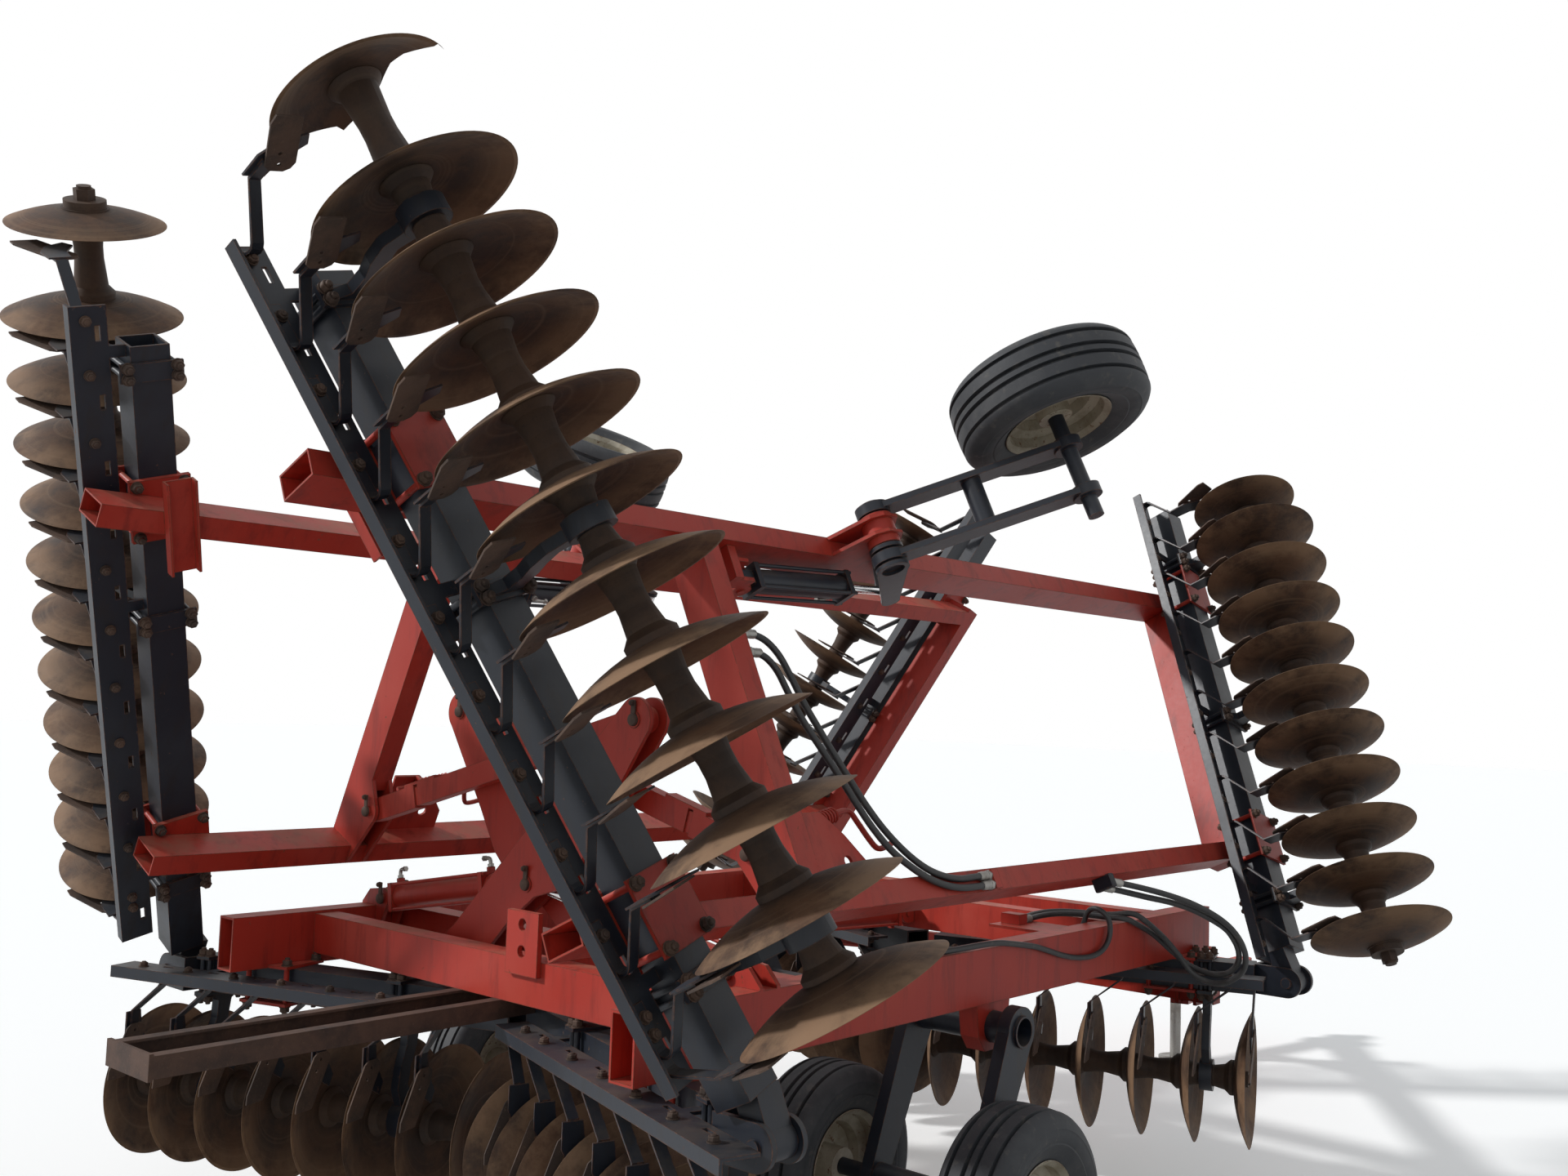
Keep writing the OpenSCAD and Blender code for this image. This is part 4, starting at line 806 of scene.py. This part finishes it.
# %% [markdown]
# ## Bolts
# Every clamp, bearing hanger and scraper arm is bolted. One nut on a washer, with the stud's end
# standing out of it, is modelled once: a six-sided cylinder with broken corners, a flat round
# washer and a short stud. Copies go to each place, and all that ride one body become one piece.

# %% One nut
WASHER = 0.004
WASHER_REACH = 0.66
NUT_BREAK = 0.07
STUD_BREAK = 0.2


def nut_on_washer(across, thick, stud_radius, stud_out):
    nut = cylinder(6, across / math.sqrt(3), thick, WASHER + thick / 2)
    chamfer(nut, across * NUT_BREAK)
    washer = cylinder(16, across * WASHER_REACH, WASHER, WASHER / 2)
    stud = cylinder(12, stud_radius, stud_out, WASHER + stud_out / 2)
    chamfer(stud, stud_radius * STUD_BREAK)
    return join([nut, washer, stud], "nut")


CLAMP_NUT = nut_on_washer(across=0.032, thick=0.018, stud_radius=0.0098, stud_out=0.027)
ARM_NUT = nut_on_washer(across=0.028, thick=0.013, stud_radius=0.0086, stud_out=0.017)
print("faces in one nut:", len(CLAMP_NUT.data.polygons))

# %% [markdown]
# ## The eight gangs
# The places of nuts and scraper blades come from the same numbers as the steel: the pitch of the
# blades, the wider last gap of the two rear outer gangs, the spools that carry bearings, and
# the ends of the scraper bar, all along the axle from the first blade.

# %% Gangs
PITCH = 0.229
DISH = 0.072
LEVEL = math.cos(GANG_ANGLE)
HOLLOW = {"front": 1, "rear": -1}
CARRIERS = ("frame", "left_wing", "right_wing")
GANGS = {
    ("front", False): dict(count=7, start=1.422 - 6 * PITCH * LEVEL, last_gap=PITCH,
        bearings=(1, 5), bar=(0.030, 6 * PITCH + 0.070), first_arm=0),
    ("rear", False): dict(count=8, start=1.651 - 7 * PITCH * LEVEL, last_gap=PITCH,
        bearings=(1, 5), bar=(0.090, 7 * PITCH + 0.070), first_arm=1),
    ("front", True): dict(count=11, start=1.664, last_gap=PITCH,
        bearings=(1, 5, 9), bar=(-0.020, (4.040 - 1.664) / LEVEL), first_arm=0),
    ("rear", True): dict(count=12, start=1.840, last_gap=0.300,
        bearings=(0, 5, 9), bar=(-0.020, (4.185 - 1.840) / LEVEL), first_arm=0),
}


def gangs_of(side, word):
    """The four gangs of a side: the body that carries each, its end, its numbers, its frame."""
    for (end, outer), g in GANGS.items():
        body, base = (word + "_wing", wing(side)) if outer else ("frame", half(side))
        yield body, end, g, gang(base, end, g["start"])


def blade_at(g, k):
    return (k - 1) * PITCH + g["last_gap"] if k == g["count"] - 1 else k * PITCH


print("blades:", 2 * sum(g["count"] for g in GANGS.values()))

# %% Where the nuts sit
UNDER = Matrix.Rotation(math.pi, 4, "X")
BOLT_OUT = 0.0795
HANGER_HALF = 0.018
HANGER_TOP = 0.012
HANGER_BOTTOM = 0.014
CLAMP_HALF = 0.092
CLAMP_BOTTOM = 0.012
ARM_LINE = -0.181
ARM_TOP = 0.028
ARM_BOTTOM = 0.011
ARM_BEND = 0.160
ARM_RUN = 0.150
ARM_GAP = 0.008
ARM_END = 0.040


def four_bolts(place, middle, half_step, top, bottom):
    """Nuts above and below a tube, on the four bolts of a clamp or hanger."""
    for across in (-half_step, half_step):
        for out in (-BOLT_OUT, BOLT_OUT):
            at = middle + across
            high, low = TUBE_RISE + HALF_TUBE + top, TUBE_RISE - HALF_TUBE - bottom
            yield place @ Matrix.Translation((at, out, high))
            yield place @ Matrix.Translation((at, out, low)) @ UNDER


def hanger_nuts(g, end, place):
    for k in g["bearings"]:
        spool_middle = (blade_at(g, k) + blade_at(g, k + 1)) / 2 - HOLLOW[end] * DISH
        yield from four_bolts(place, spool_middle, HANGER_HALF, HANGER_TOP, HANGER_BOTTOM)


def arm_nuts(g, end, place):
    low, high = g["bar"]
    hollow = HOLLOW[end]
    for k in range(g["first_arm"], g["count"]):
        wanted = blade_at(g, k) + hollow * ARM_BEND
        bend = max(low + ARM_END, min(high - ARM_END, wanted))
        room = (high - bend if hollow < 0 else bend - low) - ARM_GAP
        at = bend - hollow * (min(ARM_RUN, room) - ARM_END)
        yield place @ Matrix.Translation((at, ARM_LINE, TUBE_RISE + ARM_TOP))
        yield place @ Matrix.Translation((at, ARM_LINE, TUBE_RISE + ARM_BOTTOM)) @ UNDER


print("bolts stand", BOLT_OUT, "m from a tube's middle line")

# %% Nuts on the centre and on the wings
CENTRE_RAIL = 1.100
WING_RAILS = (2.210, 3.520)
CENTRE_PLATE = 0.012
WING_PLATE = 0.020
clamps = {body: [] for body in CARRIERS}
arms = {body: [] for body in CARRIERS}
for side, word in SIDES:
    for body, end, g, place in gangs_of(side, word):
        clamps[body] += hanger_nuts(g, end, place)
        arms[body] += arm_nuts(g, end, place)
    for end in HOLLOW:
        place = gang(half(side), end, CENTRE_RAIL)
        clamps["frame"] += four_bolts(place, 0, CLAMP_HALF, CENTRE_PLATE, CLAMP_BOTTOM)
        for rail in WING_RAILS:
            place = gang(wing(side), end, rail)
            clamps[word + "_wing"] += four_bolts(place, 0, CLAMP_HALF, WING_PLATE, CLAMP_BOTTOM)

for body in CARRIERS:
    for master, places, kind in ((CLAMP_NUT, clamps[body], "clamp"), (ARM_NUT, arms[body], "arm")):
        piece = copies(master, places, body + "_" + kind + "_nuts")
        dress(piece, BOLT_RUST, body)
        print(piece.name, len(places))
discard(CLAMP_NUT, ARM_NUT)

# %% [markdown]
# ## Tyres
# The transport tyres are ribbed implement tyres with four grooves. The outline of a half section,
# from bead over sidewall and ribs to the middle, is mirrored and spun round the axle. Ribs run
# all the way round, so one spin makes them, where lugs would each need a copy. The twin wheels'
# node holds two tyres, so two are joined to stand for it.

# %% Outline of a tyre
HALF_WIDTH = 0.135
TYRE_RADIUS = 0.370
BEAD_RADIUS = 0.1933
TYRE_STEPS = 96
SIDEWALL = [(0.001, 0.62), (0.010, 0.70), (0.018, 0.735), (0.040, 0.84), (0.070, 0.955),
    (0.076, 0.945), (0.082, 0.965), (0.110, 0.995), (0.116, 0.980), (0.122, 0.990)]
RIBS = [(0.040, 0.935), (0.026, 0.885), (0.014, 0.795), (0.006, 0.70), (0.004, 0.64),
    (0.0185, 0.615), (0.0185, 0.545), (0.003, 0.52), (0.001, 0.36), (0.0, 0.20),
    (0.0165, 0.172), (0.0165, 0.098), (0.0, 0.07), (0.0, 0.0)]


def tyre_outline():
    """Radius and place across of each point, closed inside the bead."""
    near = [(BEAD_RADIUS + out, across * HALF_WIDTH) for out, across in SIDEWALL]
    near += [(TYRE_RADIUS - deep, across * HALF_WIDTH) for deep, across in RIBS]
    whole = near + [(radius, -across) for radius, across in reversed(near[:-1])]
    return whole + whole[:1]


TO_AXLE = Matrix.Rotation(math.pi / 2, 4, "Y")
TYRE_MASTER = turned(tyre_outline(), TYRE_STEPS, "tyre")
soften(TYRE_MASTER, 32)
print("faces in a tyre:", len(TYRE_MASTER.data.polygons))

# %% Ribbed tyres
SHAFT = (0.020, 0.925)
ARM_LENGTH = 0.608
ARM_SLOPE = math.asin((SHAFT[1] - TYRE_RADIUS) / ARM_LENGTH)
TWIN_AXLE = (SHAFT[0] - ARM_LENGTH * math.cos(ARM_SLOPE), TYRE_RADIUS)
TWIN_TRACKS = (0.580, 1.410)
WING_WHEEL = (3.790, 0.095, 0.250)
for side, word in SIDES:
    twins = [half(side) @ Matrix.Translation((x, *TWIN_AXLE)) @ TO_AXLE for x in TWIN_TRACKS]
    single = [wing(side) @ Matrix.Translation(WING_WHEEL) @ TO_AXLE]
    for node, places, body in ((word + "_twin_tyres", twins, word + "_twin_wheels"),
            (word + "_wing_tyre", single, word + "_wing_wheel")):
        piece = dress(copies(TYRE_MASTER, places, "ribbed_" + node), TYRE, body)
        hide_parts(node)
        print(piece.name, len(piece.data.polygons), "faces")
discard(TYRE_MASTER)

# %% [markdown]
# ## Pins and their keepers
# The big pins of the masts, links and cylinders are held by a flat keeper plate with one bolt
# beside each head. A dome-headed cap closes each pin's end. The cap is spun from its outline, the
# plate is a block with broken edges, and the nut is the one of the bolts at a smaller size.

# %% Pin head
PIN_CAP = [(0.0, 0.014), (0.012, 0.0135), (0.0195, 0.010), (0.022, 0.004), (0.022, 0.0)]
PIN_STEPS = 24
KEEPER_SIZE = (0.020, 0.062, 0.006)
KEEPER_MIDDLE = (0, 0.034, 0.003)
KEEPER_BOLT = (0, 0.056, 0.006)
keeper = block(KEEPER_SIZE, KEEPER_MIDDLE)
cap = turned(PIN_CAP, PIN_STEPS)
keeper_nut = nut_on_washer(across=0.017, thick=0.009, stud_radius=0.005, stud_out=0.012)
keeper_nut.data.transform(Matrix.Translation(KEEPER_BOLT))
PIN_HEAD = join([cap, keeper, keeper_nut], "pin_head")
soften(PIN_HEAD)
print("faces in a pin head:", len(PIN_HEAD.data.polygons))

# %% Pin heads
MAST_TOP = (-0.550, 2.010)
MAST_CYLINDER = (-0.028, 1.415)
CYLINDER_BASE = (-1.010, 1.245)
LINK_PIN = (0.985, 1.600)
FOLD_PLANE = {-1: -1.235, 1: -1.130}
MAST_REACH = 0.050
EAR_REACH = 0.054


def pin_places(side, x, z, reach):
    for end in (-1, 1):
        yield half(side) @ aim((x, FOLD_PLANE[side] + end * reach, z), (0, end, 0))


for side, word in SIDES:
    for name, body, pins, reach in (
        ("mast_pins", word + "_mast", (MAST_TOP, MAST_CYLINDER), MAST_REACH),
        ("cylinder_pins", "frame", (CYLINDER_BASE,), EAR_REACH),
        ("link_pins", word + "_wing", (LINK_PIN,), EAR_REACH),
    ):
        places = [p for x, z in pins for p in pin_places(side, x, z, reach)]
        dress(copies(PIN_HEAD, places, word + "_" + name), BOLT_RUST, body)
        print(word, name, len(places))
discard(PIN_HEAD)

# %% [markdown]
# ## Cylinder ports
# Each port block of a hydraulic cylinder takes a hexagon adapter and a steel elbow. The elbow is
# a short swept pipe with a turned nut on its end.

# %% One elbow
BENT_PIPE = [(0, 0, 0.010), (0, 0, 0.020), (0.004, 0, 0.030), (0.014, 0, 0.034), (0.030, 0, 0.034)]
PIPE_NUT = [(0.0, 0.0), (0.0105, 0.0), (0.0115, 0.002), (0.0115, 0.012), (0.0095, 0.014),
    (0.0, 0.014)]
PIPE_RADIUS = 0.0075
NUT_AT = (0.028, 0, 0.034)
ADAPTER_RADIUS = 0.013
ADAPTER_LENGTH = 0.012
ADAPTER_BREAK = 0.0012
adapter = cylinder(6, ADAPTER_RADIUS, ADAPTER_LENGTH, ADAPTER_LENGTH / 2)
chamfer(adapter, ADAPTER_BREAK)
bent = wire("bent_port", BENT_PIPE, PIPE_RADIUS, 4)
tip = turned(PIPE_NUT, 6)
tip.data.transform(aim(NUT_AT, (1, 0, 0)))
ELBOW = join([bent, adapter, tip], "elbow")
print("faces in an elbow:", len(ELBOW.data.polygons))

# %% Elbows on the ports
PORT_RISE = 0.022
PORT_FRONT = 0.012
PORT_REAR = 0.068
FOLD_HEAD = 0.647
FOLD_DIAMETER = 0.102
WING_CYLINDER_LINE = 3.400
WING_BASE = (-0.894, 1.155)
WING_LEVER = (-0.087, 1.098)
WING_ROD_OUT = 0.278
WING_DIAMETER = 0.090


def cylinder_frame(place, base, a, b, turn):
    """The frame of a cylinder at its base pin, X from pin a to pin b in the cylinder's plane."""
    return place @ Matrix.Translation(base) @ turn(math.atan2(b[1] - a[1], b[0] - a[0]))


def across_machine(angle):
    return Matrix.Rotation(-angle, 4, "Y")


def along_machine(angle):
    return Matrix.Rotation(angle, 4, "X") @ Matrix.Rotation(math.pi / 2, 4, "Z")


def ports(head, diameter):
    front = Matrix.Translation((head + PORT_FRONT, 0, diameter / 2 + PORT_RISE))
    rear = Matrix.Translation((PORT_REAR, 0, diameter / 2 + PORT_RISE))
    return [front @ Matrix.Rotation(math.pi, 4, "Z"), rear]


for side, word in SIDES:
    base = (CYLINDER_BASE[0], FOLD_PLANE[side], CYLINDER_BASE[1])
    fold = cylinder_frame(half(side), base, CYLINDER_BASE, MAST_CYLINDER, across_machine)
    places = [fold @ p for p in ports(FOLD_HEAD, FOLD_DIAMETER)]
    dress(copies(ELBOW, places, word + "_fold_ports"), ZINC, word + "_fold_barrel")
    reach = math.dist(WING_BASE, WING_LEVER)
    base = (WING_CYLINDER_LINE, *WING_BASE)
    lift = cylinder_frame(wing(side), base, WING_BASE, WING_LEVER, along_machine)
    places = [lift @ p for p in ports(reach - WING_ROD_OUT, WING_DIAMETER)]
    dress(copies(ELBOW, places, word + "_wing_ports"), ZINC, word + "_wing_barrel")
discard(ELBOW)
print("elbows on four cylinders")

# %% [markdown]
# ## Latch of a wing and the hoses' clip
# Each wing carries a sprung latch beside its cross tube: a plate welded into the corner of tube
# and rail, a bar that slides through a coil spring, and the bar's end bent twice as a handle. The
# plate is drawn as an outline, raised by an extrude, and its hole is cut by a boolean. The spring
# is a wire swept along a helix. A clip block on the inner rail holds the ends of the two hoses
# that cross the hinge, and turns with the wing.

# %% Plates and springs
PLATE_BREAK = 0.0015


def cut_plate(outline, low, high, holes=()):
    """A flat plate from its outline in X and Y, with round holes cut by a boolean."""
    face = [list(range(len(outline)))]
    piece = drawn("plate", [(x, y, low) for x, y in outline], [], face)
    bpy.ops.mesh.extrude_region_move(TRANSFORM_OT_translate={"value": (0, 0, high - low)})
    outward(merge=False)
    bpy.ops.object.mode_set(mode="OBJECT")
    for x, y, radius in holes:
        clear()
        bpy.ops.mesh.primitive_cylinder_add(vertices=32, radius=radius, depth=3 * (high - low),
            location=(x, y, (low + high) / 2))
        cutter = bpy.context.object
        hole = piece.modifiers.new("hole", "BOOLEAN")
        hole.object = cutter
        hole.solver = "EXACT"
        pick(piece)
        bpy.ops.object.modifier_apply(modifier="hole")
        discard(cutter)
    chamfer(piece, PLATE_BREAK)
    return piece


def helix(a, b, radius, turns, steps=12):
    a, b = Vector(a), Vector(b)
    along = (b - a).to_track_quat("Z", "Y").to_matrix()
    reach = (b - a).length
    for i in range(turns * steps + 1):
        t = i / (turns * steps)
        angle = 2 * math.pi * turns * t
        yield a + along @ Vector((radius * math.cos(angle), radius * math.sin(angle), reach * t))


print("plates have edges broken by", PLATE_BREAK, "m")

# %% Latch and clip
LATCH_PLATE = [(2.248, -1.086), (2.500, -1.086), (2.500, -0.965), (2.420, -0.880),
    (2.330, -0.810), (2.248, -0.810)]
LATCH_LOW = 1.056
LATCH_HIGH = 1.070
LATCH_HOLE = (2.330, -0.900, 0.019)
LUG_SIZE = (0.060, 0.014, 0.062)
LUG_MIDDLE = (2.475, -0.985, 1.096)
LATCH_SPRING = ((2.478, -0.975, 1.102), (2.503, -0.850, 1.102))
SPRING_RADIUS = 0.024
SPRING_WIRE = 0.0045
SPRING_TURNS = 8
LATCH_HANDLE = [(2.458, -1.086, 1.102), (2.472, -1.010, 1.102), (2.500, -0.870, 1.102),
    (2.514, -0.790, 1.102), (2.508, -0.756, 1.100), (2.470, -0.742, 1.094),
    (2.410, -0.722, 1.086), (2.374, -0.700, 1.082), (2.372, -0.664, 1.080),
    (2.388, -0.604, 1.080)]
HANDLE_RADIUS = 0.010
CLIP_SIZE = (0.056, 0.034, 0.088)
CLIP_MIDDLE = (2.145, 0.634, 1.056)
for side, word in SIDES:
    plate = cut_plate(LATCH_PLATE, LATCH_LOW, LATCH_HIGH, [LATCH_HOLE])
    lug = block(LUG_SIZE, LUG_MIDDLE)
    coil = list(helix(*LATCH_SPRING, SPRING_RADIUS, SPRING_TURNS))
    spring = wire("spring", coil, SPRING_WIRE, 1)
    handle = wire("handle", LATCH_HANDLE, HANDLE_RADIUS)
    latch = join([plate, lug, spring, handle], word + "_wing_latch")
    move(latch, wing(side))
    soften(latch)
    dress(latch, RED_PAINT, word + "_wing")
clip = block(CLIP_SIZE, CLIP_MIDDLE)
clip.name = "hose_clip"
move(clip, wing(1))
dress(clip, BLACK_PAINT, "right_wing")
print("latches and clip made")

# %% [markdown]
# ## Scraper blades
# Each disc has a scraper blade, a plate riveted to the end of its arm, whose lower edge lies
# close to the hollow side of the disc near its rim. The solids have the arms. These are
# the wide plates, which lean a little away from the disc. The two kinds of gang hollow the
# other way round, so the plate is cut once for each. The outermost blade at the rear sits a
# little further in, so that the machine stays in its box.

# %% Where the scraper blades sit
SCRAPER_OUTLINE = [(-0.290, 0.052), (-0.208, 0.052), (-0.198, 0.075), (-0.138, 0.215),
    (-0.142, 0.238), (-0.160, 0.252), (-0.205, 0.252), (-0.224, 0.238), (-0.290, 0.085)]
SCRAPER_RIVETS = [(-0.186, 0.226, 0.006), (-0.204, 0.186, 0.006)]
SCRAPER_NEAR = 0.0155
SCRAPER_FAR = 0.0215
SCRAPER_FOOT = Vector((0, 0, 0.052))
SCRAPER_LEAN = math.radians(4)
SCRAPER_TUCK = 0.032
ACROSS = Matrix(((0, 0, 1, 0), (1, 0, 0, 0), (0, 1, 0, 0), (0, 0, 0, 1)))
scraper_places = {(body, end): [] for body in CARRIERS for end in HOLLOW}
for side, word in SIDES:
    for body, end, g, place in gangs_of(side, word):
        lean = Matrix.Rotation(HOLLOW[end] * SCRAPER_LEAN, 4, "Y")
        lean = Matrix.Translation(SCRAPER_FOOT) @ lean @ Matrix.Translation(-SCRAPER_FOOT)
        for k in range(g["first_arm"], g["count"]):
            outermost = g is GANGS[("rear", True)] and k == g["count"] - 1
            tuck = SCRAPER_TUCK if outermost else 0
            at = Matrix.Translation((blade_at(g, k), tuck, 0))
            scraper_places[(body, end)].append(place @ at @ lean @ ACROSS)
print("scraper blades:", sum(len(places) for places in scraper_places.values()))

# %% Cut and copy the scraper blades
for end, hollow in HOLLOW.items():
    low, high = sorted((hollow * SCRAPER_NEAR, hollow * SCRAPER_FAR))
    master = cut_plate(SCRAPER_OUTLINE, low, high, SCRAPER_RIVETS)
    for body in CARRIERS:
        places = scraper_places[(body, end)]
        piece = copies(master, places, body + "_" + end + "_scraper_blades")
        dress(piece, BOLT_RUST, body)
        print(piece.name, len(places))
    discard(master)

# %% [markdown]
# ## Floor and light
# The harrow stands in the open sun. Here one soft sun from the left rear is the key, a pale sky
# fills the shade, and together they are just strong enough that a colour renders as written.
# The floor and the world look white to the camera and in reflections, and not by more light.

# %% Floor
FLOOR_SIZE = 160


def seen_directly(nodes):
    """1 for rays from the camera, off gloss and through glass, 0 for light on the harrow."""
    ray = nodes.add("ShaderNodeLightPath").outputs
    seen = Value(nodes, ray["Is Camera Ray"]).most(Value(nodes, ray["Is Glossy Ray"]))
    return seen.most(Value(nodes, ray["Is Transmission Ray"]))


clear()
bpy.ops.mesh.primitive_plane_add(size=FLOOR_SIZE, location=(0, 0, 0))
floor = bpy.context.object
floor.name = "floor"
ground = Finish("pale_floor")
seen = seen_directly(ground)
ground.set(Base_Color=ground.mix(seen, (0.40, 0.39, 0.36), (0.97, 0.97, 0.96)), Roughness=0.95,
    Emission_Color=ground.mix(seen, (0.0, 0.0, 0.0), (0.24, 0.24, 0.23)), Emission_Strength=1.0)
floor.data.materials.append(ground.material)
print("floor", FLOOR_SIZE, "m wide")

# %% Sky
SKY_STRENGTH = 0.36
world = bpy.data.worlds.new("sky")
world.use_nodes = True
air = Nodes(world.node_tree)
sky = air.tree.nodes["Background"]
air.put(sky.inputs["Color"], (0.86, 0.92, 1.0))
air.put(sky.inputs["Strength"], SKY_STRENGTH)
white = air.add("ShaderNodeBackground", Color=(1.0, 1.0, 1.0), Strength=1.0)
choose = air.add("ShaderNodeMixShader")
for socket, item in zip(choose.inputs, (seen_directly(air), sky.outputs[0], white.outputs[0])):
    air.put(socket, item)
air.put(air.tree.nodes["World Output"].inputs["Surface"], choose.outputs[0])
scene.world = world
print("sky strength", SKY_STRENGTH)

# %% Lamps


def lamp(name, kind, energy, place, look_at):
    data = bpy.data.lights.new(name, kind)
    data.energy = energy
    obj = bpy.data.objects.new(name, data)
    scene.collection.objects.link(obj)
    obj.location = place
    obj.rotation_euler = (Vector(look_at) - Vector(place)).to_track_quat("-Z", "Y").to_euler()
    return data


key = lamp("key", "SUN", 2.5, (-7.0, -6.6, 6.8), (0, 0, 1))
key.angle = 0.08
fill = lamp("fill", "AREA", 130, (9, -12, 7), (0, 0, 1.5))
fill.size = 8
scene.view_settings.view_transform = "Standard"
